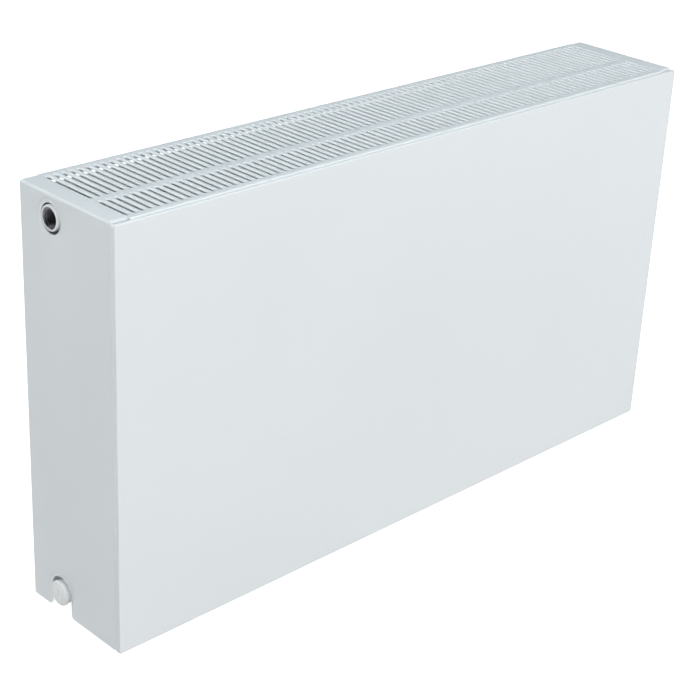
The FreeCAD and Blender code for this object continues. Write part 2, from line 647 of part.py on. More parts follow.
def valve_housing():
    """The tube that the feed enters from below; its seat parts the inlet from the outlet."""
    body = new_body("valve_housing")
    front = "(middle_seam + crest_depth - tap_depth)"
    rear = "(rear_seam - crest_depth - tap_depth)"
    slab(body, "housing_tube", "YZ_Plane", circle("0", "0", "housing_radius"), "valve_back", "valve_mouth")
    slab(body, "cross_pipe", "XZ_Plane", circle("valve_port", "0", "boss_radius"), front, rear)
    slab(body, "riser_socket", "XY_Plane", circle(FLOW_X, "0", "socket_radius"), "-socket_end", "0")
    slab(body, "outlet_bore", "XZ_Plane", circle("valve_port", "0", "water_radius"),
         f"{front} - 1", f"{rear} + 1", cut=True)
    turned(body, "chambers",
           [("valve_back + 7", "0"), ("valve_back + 7", "chamber_radius"),
            ("seat_face - seat_length", "chamber_radius"), ("seat_face - seat_length", "seat_radius"),
            ("seat_face", "seat_radius"), ("seat_face", "chamber_radius"),
            ("valve_mouth - thread_depth", "chamber_radius"),
            ("valve_mouth - thread_depth", "thread_radius"),
            ("valve_mouth - mouth_chamfer", "thread_radius"),
            ("valve_mouth", "thread_radius + mouth_chamfer"),
            ("valve_mouth + 1", "thread_radius + mouth_chamfer"), ("valve_mouth + 1", "0")],
           cut=True)
    slab(body, "inlet_bore", "XY_Plane", circle(FLOW_X, "0", "riser_radius - riser_wall"),
         "-socket_floor - 1", "0", cut=True)
    slab(body, "socket_bore", "XY_Plane", circle(FLOW_X, "0", "riser_radius + pipe_fit"),
         "-socket_end - 1", "-socket_floor", cut=True)
    place(body, 0, TAP_Y, HIGH_Z)


def insert_piece(label, name, points):
    """A piece turned about the valve's axis, measured outwards from the housing's mouth."""
    body = new_body(label)
    turned(body, name, points)
    place(body, "valve_mouth", TAP_Y, HIGH_Z)
    return body


def valve_insert():
    """The brass insert that screws into the housing and carries the M30x1.5 head thread."""
    stem_bore = "stem_radius + pipe_fit"
    thread = "thread_radius - thread_fit"
    head = "head_radius - thread_fit"
    insert_piece("valve_insert_body", "insert_turning", [
        ("-cage_start", stem_bore), ("-cage_start", "cage_radius - 0.1"),
        ("-cage_start + 1", thread), ("-screw_start", thread), ("-screw_start", "neck_radius"),
        ("flange_gap", "neck_radius"), ("flange_gap", "hexagon_radius"),
        ("hexagon_end", "hexagon_radius"), ("hexagon_end", head), ("insert_end - 1", head),
        ("insert_end", "head_radius - 1"), ("insert_end", "gland_bore"),
        ("gland_floor", "gland_bore"), ("gland_floor", stem_bore)])


def cage():
    """The windowed sleeve between the insert and the seat, with the spring's ledge and a seat ring."""
    body = insert_piece("valve_cage", "cage_turning", [
        ("-cage_end", "seat_ring"), ("-cage_end", "cage_radius"), ("-cage_start", "cage_radius"),
        ("-cage_start", "cage_bore"), ("-ledge", "cage_bore"), ("-ledge", "ledge_radius"),
        ("-ledge - wall", "ledge_radius"), ("-ledge - wall", "cage_bore"),
        ("-cage_end + wall", "cage_bore"), ("-cage_end + wall", "seat_ring")])
    across = ("-stem_radius", "stem_radius")
    slab(body, "spring_windows", "XZ_Plane", rectangle("-ledge + wall", "-ledge + 6 * wall", *across),
         "-cage_radius - 1", "cage_radius + 1", cut=True)
    slab(body, "outlet_windows", "XZ_Plane",
         rectangle("-disc_face + disc_gauge + 1", "-disc_face + disc_gauge + 3", *across),
         "-cage_radius - 1", "cage_radius + 1", cut=True)


def stem():
    """The sprung pin that a head or the cap pushes in, with its spring collar."""
    insert_piece("valve_stem", "stem_turning", [
        ("-disc_face", "0"), ("-disc_face", "stem_tip"), ("-disc_face + disc_gauge", "stem_tip"),
        ("-disc_face + disc_gauge", "stem_radius"), ("-collar_place", "stem_radius"),
        ("-collar_place", "collar_radius"), ("-collar_place + wall", "collar_radius"),
        ("-collar_place + wall", "stem_radius"), ("stem_end - 1", "stem_radius"),
        ("stem_end", "stem_radius - 1"), ("stem_end", "0")])


def stem_disc():
    """The rubber disc at the stem's end that closes on the seat ring."""
    insert_piece("valve_disc", "disc_turning", [
        ("-disc_face", "stem_tip"), ("-disc_face", "disc_radius"),
        ("-disc_face + disc_gauge", "disc_radius"), ("-disc_face + disc_gauge", "stem_tip")])


def return_spring():
    """The coil spring between the cage's ledge and the stem's collar."""
    wire_radius = number("wire_radius")
    coil_radius = number("coil_radius")
    length = number("ledge - collar_place - 2 * wire_radius")
    helix = Part.makeHelix(length / SPRING_COILS, length, coil_radius)
    centre = FreeCAD.Vector(coil_radius, 0, 0)
    section = Part.Wire(Part.makeCircle(wire_radius, centre, FreeCAD.Vector(0, 1, 0)))
    spring = doc.addObject("Part::Feature", "return_spring")
    spring.Label = "return_spring"
    spring.Shape = Part.Wire(helix).makePipeShell([section], True, True)
    base = FreeCAD.Vector(number("valve_mouth - ledge + wire_radius"), number(TAP_Y), number(HIGH_Z))
    spring.Placement = FreeCAD.Placement(base, FreeCAD.Rotation(FreeCAD.Vector(0, 1, 0), 90))


def gland():
    """The gland nut that closes the insert around the stem, and the O-ring behind it."""
    bore = "stem_radius + pipe_fit"
    insert_piece("gland_nut", "gland_turning", [
        ("gland_start", bore), ("gland_start", "gland_bore - thread_fit"),
        ("insert_end", "gland_bore - thread_fit"), ("insert_end", "gland_neck"),
        ("gland_end", "gland_neck"), ("gland_end", bore)])
    insert_piece("stem_seal", "seal_turning", [
        ("gland_floor + 0.1", bore), ("gland_floor + 0.1", "gland_neck"),
        ("gland_start - 0.1", "gland_neck"), ("gland_start - 0.1", bore)])


def setting_ring():
    """The notched ring on the insert's head that presets the flow."""
    body = insert_piece("presetting_ring", "ring_turning", [
        ("setting_start", "setting_bore"), ("setting_start", "setting_radius"),
        ("setting_end - 0.6", "setting_radius"), ("setting_end", "setting_radius - 0.6"),
        ("setting_end", "setting_bore")])
    inner = "setting_radius - 2.9"
    outer = "setting_radius + 1"
    through = ("setting_start - 1", "setting_end + 1")
    slab(body, "key_notch", "YZ_Plane", rectangle("-1.5", "1.5", inner, outer), *through, cut=True)
    slab(body, "grip_notches", "YZ_Plane",
         [rectangle(inner, outer, "-1", "1"), rectangle(f"-({outer})", f"-({inner})", "-1", "1")],
         *through, cut=True)


def protective_cap():
    """The ribbed plastic cap that screws over the insert's head thread."""
    body = insert_piece("protective_cap", "cap_turning", [
        ("cap_start", "head_radius"), ("cap_start", "cap_radius - 0.6"),
        ("cap_start + 0.6", "cap_radius"), ("cap_end - 2", "cap_radius - 0.6"),
        ("cap_end", "cap_radius - 2.6"), ("cap_end", "0"), ("cap_floor", "0"),
        ("cap_floor", "head_radius")])
    rib = slab(body, "grip_rib", "YZ_Plane", circle("cap_radius - 0.5", "0", "rib_radius"),
               "cap_start + 1", "cap_end - 3")
    ribs = body.newObject("PartDesign::PolarPattern", "grip_ribs")
    ribs.Originals = [rib]
    ribs.Axis = (origin_plane(body, "X_Axis"), [""])
    ribs.Angle = 360
    ribs.Occurrences = CAP_RIBS
    body.Tip = ribs


# ---------------------------------------------------------------------- bottom connections

def riser_pipe():
    """The feed pipe from the flow connection up to the valve housing."""
    body = new_body("riser_pipe")
    low = "(connector_face + connector_body - 9)"
    high = f"({HIGH_Z} - socket_floor - flange_gap)"
    slab(body, "tube", "XY_Plane", circle("0", "0", "riser_radius"), low, high)
    slab(body, "bore", "XY_Plane", circle("0", "0", "riser_radius - riser_wall"),
         f"{low} - 1", f"{high} + 1", cut=True)
    place(body, FLOW_X, TAP_Y, 0)


def connectors():
    """The two G 3/4 nipples that the pipes from the floor or wall screw onto."""
    thread = "connector_face + connector_thread"
    nut = "connector_face + 2 * connector_thread"
    end = "connector_face + connector_body"
    step = f"{end} - 9.3"
    socket = "riser_radius + pipe_fit"
    flow = new_body("flow_connector")
    turned(flow, "flow_turning",
           [("connector_face", "connector_bore"), ("connector_face", "connector_radius"),
            (thread, "connector_radius"), (thread, "connector_radius + 2.3"),
            (nut, "connector_radius + 2.3"), (nut, "socket_radius"), (end, "socket_radius"),
            (end, socket), (step, socket), (step, "connector_bore")], upright=True)
    place(flow, FLOW_X, TAP_Y, 0)
    back = new_body("return_connector")
    shoulder = "tap_low - boss_radius - flange_gap"
    spigot = "tap_low - boss_radius + 8"
    turned(back, "return_turning",
           [("connector_face", "connector_bore"), ("connector_face", "connector_radius"),
            (shoulder, "connector_radius"), (shoulder, "water_radius - pipe_fit"),
            (spigot, "water_radius - pipe_fit"), (spigot, "connector_bore")], upright=True)
    place(back, TEE_X, TAP_Y, 0)


def connector_stay():
    """The strip between two panels that holds the flow connection."""
    body = new_body("connector_stay")
    low = "(connector_face + 2 * connector_thread + flange_gap)"
    slab(body, "strip", "XY_Plane",
         rectangle(f"{FLOW_X} - stay_half", f"{FLOW_X} + stay_half",
                   behind("middle_seam + crest_depth"), behind("rear_seam - crest_depth")),
         low, f"{low} + stay_gauge")
    slab(body, "hole", "XY_Plane", circle(FLOW_X, TAP_Y, "socket_radius + pipe_fit"),
         f"{low} - 1", f"{low} + stay_gauge + 1", cut=True)


# ---------------------------------------------------------------------- fixings

def solids_in_one(label, shapes):
    """A group of separate solids that share one node."""
    group = doc.addObject("Part::Feature", label)
    group.Label = label
    group.Shape = Part.makeCompound(shapes)
    return group


def box(x_low, x_high, y_low, y_high, z_low, z_high):
    corner = FreeCAD.Vector(x_low, y_low, z_low)
    return Part.makeBox(x_high - x_low, y_high - y_low, z_high - z_low, corner)


def bond_strips():
    """Strips of adhesive between the front plate and the front panel's crests."""
    low_y = number(behind("plate_gauge"))
    high_y = number(behind("front_seam - crest_depth"))
    pitch = number("channel_pitch")
    half = number("strip_half")
    foot = number("fin_bottom") + half
    top = number("fin_top") - half
    strips = [box(pitch * step - half, pitch * step + half, low_y, high_y, foot, top)
              for step in STRIP_STEPS]
    solids_in_one("bond_strips", strips)


def hanger_lug(middle, low):
    """A bridge: two feet on the rear panel's crest and a strap across them."""
    face = number(behind("rear_seam + crest_depth"))
    outer = face + number("lug_depth")
    gauge = number("lug_gauge")
    half = number("lug_width") / 2
    gap = half - number("lug_foot")
    high = low + number("lug_height")
    bridge = box(middle - half, middle + half, face, outer, low, high)
    hollow = box(middle - gap, middle + gap, face - 1, outer - gauge, low - 1, high + 1)
    shoulder = (face + gauge, outer + 1, low - 1, high + 1)
    left = box(middle - half - 1, middle - gap - gauge, *shoulder)
    right = box(middle + gap + gauge, middle + half + 1, *shoulder)
    return bridge.cut(hollow).cut(left).cut(right)


def hanger_lugs():
    """Four bridges welded on the rear panel that the wall brackets' hooks reach up into."""
    out = number("core_length / 2 - lug_inset")
    heights = (number("tap_low + lug_margin"), number("panel_top - lug_margin - lug_height"))
    lugs = [hanger_lug(middle, low) for middle in (-out, out) for low in heights]
    solids_in_one("hanger_lugs", lugs)


def seam_clip(x_low, x_high, z_low, z_high, seam_box):
    """A block pushed over the middle panel's seam; `seam_box` is the seam's X and Z inside it."""
    seam = number(behind("middle_seam"))
    half = number("clip_half")
    grip = number("shell_gauge + pipe_fit")
    outer = box(x_low, x_high, seam - half, seam + half, z_low, z_high)
    left, right, low, high = seam_box
    return outer.cut(box(left, right, seam - grip, seam + grip, low, high))


def grille_clips():
    """Clips on the top of the middle panel's seam that steady the grille."""
    top = number("height - grille_gauge - flange_gap")
    seam_top = number("panel_top")
    low = seam_top - number("shell_gauge")
    half = number("clip_half") * 4
    clips = [seam_clip(middle - half, middle + half, low, top,
                       (middle - half - 1, middle + half + 1, low - 1, seam_top))
             for middle in CLIP_PLACES]
    solids_in_one("grille_clips", clips)


def cover_clips(label, side):
    """Clips pushed on the ends of the middle panel's seam that hold a side cover."""
    seam_end = number("core_length / 2 - seam_end")
    outer_end = number(HALF) - number("cover_gauge + clip_gap")
    grip_end = seam_end - number("clip_grip")
    half = number("clip_half") * 4
    clips = []
    for middle in (number("height") * 0.3, number("height") * 0.7):
        left, right = sorted((side * grip_end, side * outer_end))
        seam_left, seam_right = sorted((side * (grip_end - 1), side * seam_end))
        clips.append(seam_clip(left, right, middle - half, middle + half,
                               (seam_left, seam_right, middle - half - 1, middle + half + 1)))
    solids_in_one(label, clips)


# ---------------------------------------------------------------------- the whole radiator

def build():
    front_plate()
    side_cover("left_side_cover", -1, "tapping_hole", "hole_shift_y", "hole_shift_z")
    side_cover("right_side_cover", 1, "valve_hole", "0", "0")
    top_grille()
    for name, seam, ported in (("front", "front_seam", (False, True)),
                               ("middle", "middle_seam", (True, True)),
                               ("rear", "rear_seam", (True, False))):
        half_shell(f"{name}_panel_front_shell", seam, -1, ported[0])
        half_shell(f"{name}_panel_back_shell", seam, 1, ported[1])
    convector("front_convector", "front_seam", 1, "front_fin_depth", FRONT_FOLDS, "0")
    rear_middle = "(-channel_pitch)"
    convector("middle_convector", "middle_seam", 1, "rear_fin_depth", REAR_FOLDS, rear_middle)
    convector("rear_convector", "rear_seam", -1, "rear_fin_depth", REAR_FOLDS, rear_middle)
    tee("upper_left_tee", -1, HIGH_Z, mouth=FREE_MOUTH_X)
    tee("lower_left_tee", -1, LOW_Z)
    tee("lower_right_tee", 1, LOW_Z, branch_down=True)
    for label, (x, z) in zip(("lower_left", "upper_left", "lower_right", "upper_right"), corner_places()):
        link_pipe(f"{label}_link_pipe", x, z)
    for label, side in (("left", -1), ("right", 1)):
        blanking_plug(f"{label}_blanking_plug", side, LOW_Z)
        flange_ring(f"{label}_plug_o_ring", f"{side} * ({MOUTH_X} - ring_depth)", LOW_Z)
    valve_housing()
    valve_insert()
    flange_ring("insert_o_ring", "valve_mouth - ring_depth", HIGH_Z)
    cage()
    stem()
    stem_disc()
    return_spring()
    gland()
    setting_ring()
    protective_cap()
    riser_pipe()
    connectors()
    connector_stay()
    bond_strips()
    hanger_lugs()
    grille_clips()
    cover_clips("left_cover_clips", -1)
    cover_clips("right_cover_clips", 1)


def sub_parts():
    kinds = ("PartDesign::Body", "Part::Feature", "Part::Torus")
    return [item for item in doc.Objects if item.TypeId in kinds]


def check():
    for item in doc.Objects:
        if "Invalid" in item.State or "Error" in item.State:
            raise ValueError(f"{item.Label} failed: {item.State}")
    for item in sub_parts():
        if item.Shape.isNull() or not item.Shape.isValid():
            raise ValueError(f"{item.Label} has no valid shape")


def write():
    os.makedirs("parts", exist_ok=True)
    for item in sub_parts():
        item.Shape.exportStep(f"parts/{item.Label}.step")
        print(item.Label, round(item.Shape.Volume), "mm3", len(item.Shape.Solids), "solids")


build()
doc.recompute()
check()
write()
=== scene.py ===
import json
import math

import bmesh
import bpy
from mathutils import Matrix, Vector
from mathutils.geometry import delaunay_2d_cdt


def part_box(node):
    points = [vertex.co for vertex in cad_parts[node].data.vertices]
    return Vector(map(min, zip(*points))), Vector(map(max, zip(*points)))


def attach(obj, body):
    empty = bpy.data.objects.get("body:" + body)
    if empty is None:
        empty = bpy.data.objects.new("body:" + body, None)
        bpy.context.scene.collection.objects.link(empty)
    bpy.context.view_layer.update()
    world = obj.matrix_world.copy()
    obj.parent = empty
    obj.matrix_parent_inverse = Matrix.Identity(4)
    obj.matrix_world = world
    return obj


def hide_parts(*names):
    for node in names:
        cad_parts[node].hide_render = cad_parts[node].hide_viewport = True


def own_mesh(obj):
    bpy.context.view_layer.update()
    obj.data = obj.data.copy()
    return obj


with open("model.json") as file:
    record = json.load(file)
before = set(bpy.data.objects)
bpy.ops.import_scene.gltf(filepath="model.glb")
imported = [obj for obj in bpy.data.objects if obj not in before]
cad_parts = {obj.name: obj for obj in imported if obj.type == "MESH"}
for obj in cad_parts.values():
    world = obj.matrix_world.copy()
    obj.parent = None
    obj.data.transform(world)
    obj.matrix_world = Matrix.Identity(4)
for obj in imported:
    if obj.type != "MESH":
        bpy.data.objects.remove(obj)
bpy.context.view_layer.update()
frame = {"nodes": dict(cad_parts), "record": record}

MM = 0.001
MERGE = 0.002 * MM

# The camera, which looks down on the left front corner.
CAMERA_PLACE = Vector((-1.3788, -1.3208, 1.1087))
CAMERA_AIM = Vector((0.64205, 0.63546, -0.42891))
CAMERA_ROLL = math.radians(2.89)
CAMERA_LENS = 88.85
CAMERA_SENSOR = 36
CAMERA_NEAR = 0.05
LIGHT_AIM = Vector((0, 0, 0.28))

# The studio, in metres, and its light.
FLOOR_HALF = 40
WALL_RADIUS = 39
WALL_THICKNESS = 0.2
WALL_HEIGHT = 30
PAPER_GLOW = 0.75
WORLD_COLOUR = (0.96, 0.985, 1, 1)
WORLD_STRENGTH = 0.18

# The relief of every surface, as a share of its height.
RELIEF_STRENGTH = 0.5

# Sheet metal of the casing.
COVER_GAUGE = 0.9 * MM
COVER_BEND = 3.4 * MM
COVER_LIP = 11 * MM
COVER_LIP_END = 10 * MM
COVER_FRONT_CORNER = 4 * MM
COVER_REAR_CORNER = 4 * MM
PLATE_GAUGE = 1 * MM
PLATE_BEND = 1.5 * MM
PLATE_CORNER = 3.5 * MM
PLATE_TOP_FLANGE = 3.6 * MM
NOTCH_RADIUS = 18 * MM
NOTCH_FOOT = 5 * MM
NOTCH_SHIFT = (1.7 * MM, 0)
TAPPING_HOLE = 16.8 * MM
TAPPING_SHIFT = (1.4 * MM, -1.4 * MM)
VALVE_HOLE = 23 * MM
DIMPLE_DEPTH = 1.0 * MM
DIMPLE_FLAT = 3.0 * MM
DIMPLE_WIDTH = 6.2 * MM

# The grille's slots.
GRILLE_GAUGE = 1 * MM
GRILLE_BEND = 2.2 * MM
GRILLE_END_SKIRT = 0.35 * MM
SLOT_COUNT = 86
SLOT_PITCH = 10 * MM
SLOT_HALF = 2.4 * MM
SLOT_ROLL = 1.8 * MM
SLOT_RIM_DEPTH = 2.3 * MM
SLOT_RIM_GAUGE = 0.8 * MM
SLOT_ROWS = ((13.4 * MM, 59 * MM), (70.4 * MM, 148.5 * MM))
SLOT_END_STEPS = 10
SLOT_ROLL_STEPS = 5

# The pressed water panels and their convectors.
CHANNELS = 26
CHANNEL_PITCH = 33.333 * MM
SHELL_GAUGE = 1.2 * MM
SHELL_CREST = 6 * MM
VALLEY_HALF = 2.6 * MM
VALLEY_SLOPE = 4.4 * MM
CREST_MARGIN = 7 * MM
CREST_SLOPE = 4.5 * MM
HEADER_HALF = 14 * MM
SHEET_BEND = 1.6 * MM
FIN_GAUGE = 0.6 * MM
FIN_CROWN = 14 * MM

# Pipework.
TAP_Y = 25 * MM
LOW_Z = 28 * MM
HIGH_Z = 474 * MM
BOSS_RADIUS = 14 * MM
WATER_RADIUS = 9 * MM
THREAD_RADIUS = 10.48 * MM
THREAD_CREST = 9.32 * MM
THREAD_PITCH = 1.814 * MM
MOUTH_CHAMFER = 1.2 * MM
VALVE_MOUTH = 440 * MM
PLUG_MOUTH = 452.6 * MM
TEE_CENTRE = 418 * MM
LUG_PLACE = 300 * MM
SLOT_TILT = math.radians(-27)
SHANK_ROOT = 9.3 * MM
SHANK_CREST = 10.4 * MM
BORE_DEPTH = 15.9 * MM
ROUND_STEPS = 96


# ---------------------------------------------------------------------- mesh helpers

def piece(name, points, faces, material, body="radiator", slot="", nodes=(), facing=None, gauge=0,
          offset=-1, sharp=38, bevel=0):
    """Make a mesh piece that rides on a body and stands for the CAD nodes named."""
    mesh = bpy.data.meshes.new(name)
    work = bmesh.new()
    corners = [work.verts.new(point) for point in points]
    for face in faces:
        if len(set(face)) > 2:
            work.faces.new([corners[index] for index in face])
    bmesh.ops.remove_doubles(work, verts=work.verts, dist=MERGE)
    bmesh.ops.recalc_face_normals(work, faces=work.faces)
    if facing is not None:
        total = sum((face.normal * face.calc_area() for face in work.faces), Vector())
        if total.dot(Vector(facing)) < 0:
            bmesh.ops.reverse_faces(work, faces=work.faces)
    work.to_mesh(mesh)
    work.free()
    made = linked(name, mesh)
    if gauge:
        skin = made.modifiers.new("gauge", "SOLIDIFY")
        skin.thickness = gauge
        skin.offset = offset
        skin.use_even_offset = True
        settle(made)
    if bevel:
        soften(made, bevel)
    finish_piece(made, material, body, nodes, sharp)
    return made


def finish_piece(made, material, body, nodes, sharp):
    """Shade a piece smooth up to an angle, give it its material and body, and hide the CAD nodes it stands
    for.
    """
    made.data.shade_smooth()
    made.data.set_sharp_from_angle(angle=math.radians(sharp))
    made.data.materials.clear()
    made.data.materials.append(material)
    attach(made, body)
    if nodes:
        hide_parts(*nodes)


def linked(name, data):
    """A new object with the data given, in the scene."""
    made = bpy.data.objects.new(name, data)
    bpy.context.scene.collection.objects.link(made)
    return made


def settle(made):
    """Make the result of an object's modifiers its mesh."""
    evaluated = made.evaluated_get(bpy.context.evaluated_depsgraph_get())
    mesh = bpy.data.meshes.new_from_object(evaluated)
    made.modifiers.clear()
    made.data = mesh


def soften(made, width):
    """Round an object's sharp edges."""
    rounding = made.modifiers.new("rounding", "BEVEL")
    rounding.width = width
    rounding.segments = 2
    rounding.limit_method = "ANGLE"
    rounding.angle_limit = math.radians(38)
    settle(made)


def rounded_path(points, radius, steps=4, closed=False):
    """A 2-D path with each of its corners turned into an arc."""
    path = []
    count = len(points)
    for index, point in enumerate(points):
        if not closed and index in (0, count - 1):
            path.append(Vector(point))
            continue
        here = Vector(point)
        before = (Vector(points[index - 1]) - here).normalized()
        after = (Vector(points[(index + 1) % count]) - here).normalized()
        opening = before.angle(after)
        if math.pi - opening < 0.02:
            path.append(here)
            continue
        reach = radius / math.tan(opening / 2)
        middle = here + (before + after).normalized() * (radius / math.sin(opening / 2))
        start = here + before * reach - middle
        turn = (here + after * reach - middle).angle_signed(start)
        for step in range(steps + 1):
            angle = turn * step / steps
            across = Vector((start.x * math.cos(angle) - start.y * math.sin(angle),
                             start.x * math.sin(angle) + start.y * math.cos(angle)))
            path.append(middle + across)
    return path


def grid_faces(rows, columns, wrap_rows=False, wrap_columns=False):
    """Faces of a grid whose points run along its columns first."""
    faces = []
    for row in range(rows if wrap_rows else rows - 1):
        for column in range(columns if wrap_columns else columns - 1):
            right = (column + 1) % columns
            below = (row + 1) % rows
            faces.append((row * columns + column, row * columns + right,
                          below * columns + right, below * columns + column))
    return faces


def lathe(profile, centre, axis, segments=72):
    """Points and faces of a closed (along, radius) profile turned about an axis."""
    along, across, up = axes_of(axis)
    points = []
    for step in range(segments):
        angle = 2 * math.pi * step / segments
        out = across * math.cos(angle) + up * math.sin(angle)
        points += [Vector(centre) + along * place + out * radius for place, radius in profile]
    return points, grid_faces(segments, len(profile), wrap_rows=True, wrap_columns=True)


def axes_of(axis):
    """An axis and two directions square to it."""
    along = Vector(axis).normalized()
    across = Vector((0, 0, 1)) if abs(along.z) < 0.9 else Vector((1, 0, 0))
    across = (across - along * across.dot(along)).normalized()
    return along, across, along.cross(across)


def thread_ridge(centre, axis, start, end, root, crest, pitch, segments=48):
    """Points and faces of a helical thread's ridge, run out to nothing at both ends."""
    along, across, up = axes_of(axis)
    section = ((-0.42, 0), (-0.08, 1), (0.08, 1), (0.42, 0))
    turns = (end - start) / pitch
    count = int(turns * segments)
    points = []
    for step in range(count + 1):
        turned = step / segments
        angle = 2 * math.pi * turned
        out = across * math.cos(angle) + up * math.sin(angle)
        height = min(1, 4 * turned, 4 * (count / segments - turned))
        for shift, rise in section:
            radius = root + (crest - root) * rise * height
            points.append(Vector(centre) + along * (start + (turned + shift * height) * pitch)
                          + out * radius)
    columns = len(section)
    faces = grid_faces(count + 1, columns, wrap_columns=True)
    faces += [tuple(range(columns)), tuple(range(count * columns, (count + 1) * columns))]
    return points, faces


def joined(*parts):
    """One list of points and one of faces from several."""
    points, faces = [], []
    for some_points, some_faces in parts:
        first = len(points)
        points += some_points
        faces += [tuple(index + first for index in face) for face in some_faces]
    return points, faces


def smooth_step(value):
    """A smooth rise from 0 to 1 as a value goes from 0 to 1."""
    value = max(0.0, min(1.0, value))
    return value * value * (3 - 2 * value)


def inside(point, loop):
    """Whether a 2-D point lies inside a closed loop."""
    hit = False
    for one, two in zip(loop, loop[1:] + loop[:1]):
        if (one[1] > point[1]) != (two[1] > point[1]):
            cross = one[0] + (point[1] - one[1]) * (two[0] - one[0]) / (two[1] - one[1])
            hit = hit != (point[0] < cross)
    return hit


def filled(outline, holes, extra):
    """Triangles that fill a 2-D outline around its holes and through extra points."""
    points = [Vector(point[:2]) for point in outline]
    edges = [(index, (index + 1) % len(outline)) for index in range(len(outline))]
    for hole in holes:
        first = len(points)
        points += [Vector(point) for point in hole]
        edges += [(first + index, first + (index + 1) % len(hole)) for index in range(len(hole))]
    points += [Vector(point) for point in extra]
    made, _, triangles, *_ = delaunay_2d_cdt(points, edges, [], 0, 1e-9)
    kept = []
    for triangle in triangles:
        middle = sum((made[index] for index in triangle), Vector((0, 0))) / 3
        if inside(middle, points[:len(outline)]) and not any(inside(middle, hole) for hole in holes):
            kept.append(tuple(triangle))
    return made, kept


# ---------------------------------------------------------------------- materials

def shader(name, colour, roughness, metallic=0.0):
    """A material with a Principled shader, and the object coordinates its patterns use."""
    material = bpy.data.materials.new(name)
    material.use_nodes = True
    nodes = material.node_tree.nodes
    surface = nodes["Principled BSDF"]
    surface.inputs["Base Color"].default_value = (*colour, 1)
    surface.inputs["Roughness"].default_value = roughness
    surface.inputs["Metallic"].default_value = metallic
    places = nodes.new("ShaderNodeTexCoord").outputs["Object"]
    return material, surface, places


def noise(material, places, scale, detail=2, stretch=(1, 1, 1)):
    """The value of a noise pattern, stretched along the axes."""
    tree = material.node_tree
    mapping = tree.nodes.new("ShaderNodeMapping")
    mapping.inputs["Scale"].default_value = stretch
    tree.links.new(places, mapping.inputs["Vector"])
    pattern = tree.nodes.new("ShaderNodeTexNoise")
    pattern.inputs["Scale"].default_value = scale
    pattern.inputs["Detail"].default_value = detail
    tree.links.new(mapping.outputs["Vector"], pattern.inputs["Vector"])
    return pattern.outputs["Fac"]


def vary_colour(material, surface, value, low, high):
    """Run the base colour between two colours with a pattern."""
    tree = material.node_tree
    ramp = tree.nodes.new("ShaderNodeValToRGB")
    ramp.color_ramp.elements[0].color = (*low, 1)
    ramp.color_ramp.elements[0].position = 0.3
    ramp.color_ramp.elements[1].color = (*high, 1)
    ramp.color_ramp.elements[1].position = 0.7
    tree.links.new(value, ramp.inputs["Fac"])
    tree.links.new(ramp.outputs["Color"], surface.inputs["Base Color"])


def vary_roughness(material, surface, value, low, high):
    """Run the roughness between two values with a pattern."""
    tree = material.node_tree
    span = tree.nodes.new("ShaderNodeMapRange")
    span.inputs["From Min"].default_value = 0.3
    span.inputs["From Max"].default_value = 0.7
    span.inputs["To Min"].default_value = low
    span.inputs["To Max"].default_value = high
    tree.links.new(value, span.inputs["Value"])
    tree.links.new(span.outputs["Result"], surface.inputs["Roughness"])


def raise_surface(material, surface, value, height):
    """Give the surface a fine relief from a pattern."""
    tree = material.node_tree
    bump = tree.nodes.new("ShaderNodeBump")
    bump.inputs["Distance"].default_value = height
    bump.inputs["Strength"].default_value = RELIEF_STRENGTH
    tree.links.new(value, bump.inputs["Height"])
    tree.links.new(bump.outputs["Normal"], surface.inputs["Normal"])


def enamel(name, light, dark, roughness, peel):
    """Sprayed and baked enamel: a faint orange peel and slightly uneven gloss and shade."""
    material, surface, places = shader(name, light, roughness)
    vary_colour(material, surface, noise(material, places, 5, 3), dark, light)
    vary_roughness(material, surface, noise(material, places, 60, 2), roughness - 0.04, roughness + 0.05)
    raise_surface(material, surface, noise(material, places, 420, 2), peel)
    return material


def plastic(name, light, dark, roughness, grain):
    """Moulded plastic: an even colour with a fine spark-eroded grain."""
    material, surface, places = shader(name, light, roughness)
    vary_colour(material, surface, noise(material, places, 90, 2), dark, light)
    vary_roughness(material, surface, noise(material, places, 260, 2), roughness - 0.05, roughness + 0.06)
    raise_surface(material, surface, noise(material, places, 1800, 3), grain)
    return material


def machined(name, light, dark, roughness, axis_stretch):
    """Turned metal: fine tool marks around the axis and a slightly mottled tone."""
    material, surface, places = shader(name, light, roughness, metallic=1.0)
    vary_colour(material, surface, noise(material, places, 140, 3), dark, light)
    vary_roughness(material, surface, noise(material, places, 300, 2), roughness - 0.06, roughness + 0.1)
    raise_surface(material, surface, noise(material, places, 900, 2, axis_stretch), 0.02 * MM)
    return material


def plated(name, light, dark):
    """Zinc plating: pale metal with a faint spangle."""
    material, surface, places = shader(name, light, 0.34, metallic=1.0)
    tree = material.node_tree
    cells = tree.nodes.new("ShaderNodeTexVoronoi")
    cells.inputs["Scale"].default_value = 160
    tree.links.new(places, cells.inputs["Vector"])
    vary_colour(material, surface, cells.outputs["Distance"], dark, light)
    vary_roughness(material, surface, noise(material, places, 220, 2), 0.28, 0.42)
    raise_surface(material, surface, noise(material, places, 500, 2), 0.01 * MM)
    return material


def rubber(name, light, dark):
    """Moulded rubber: matt, with a little bloom."""
    material, surface, places = shader(name, light, 0.75)
    vary_colour(material, surface, noise(material, places, 200, 3), dark, light)
    vary_roughness(material, surface, noise(material, places, 400, 2), 0.65, 0.85)
    raise_surface(material, surface, noise(material, places, 1500, 2), 0.02 * MM)
    return material


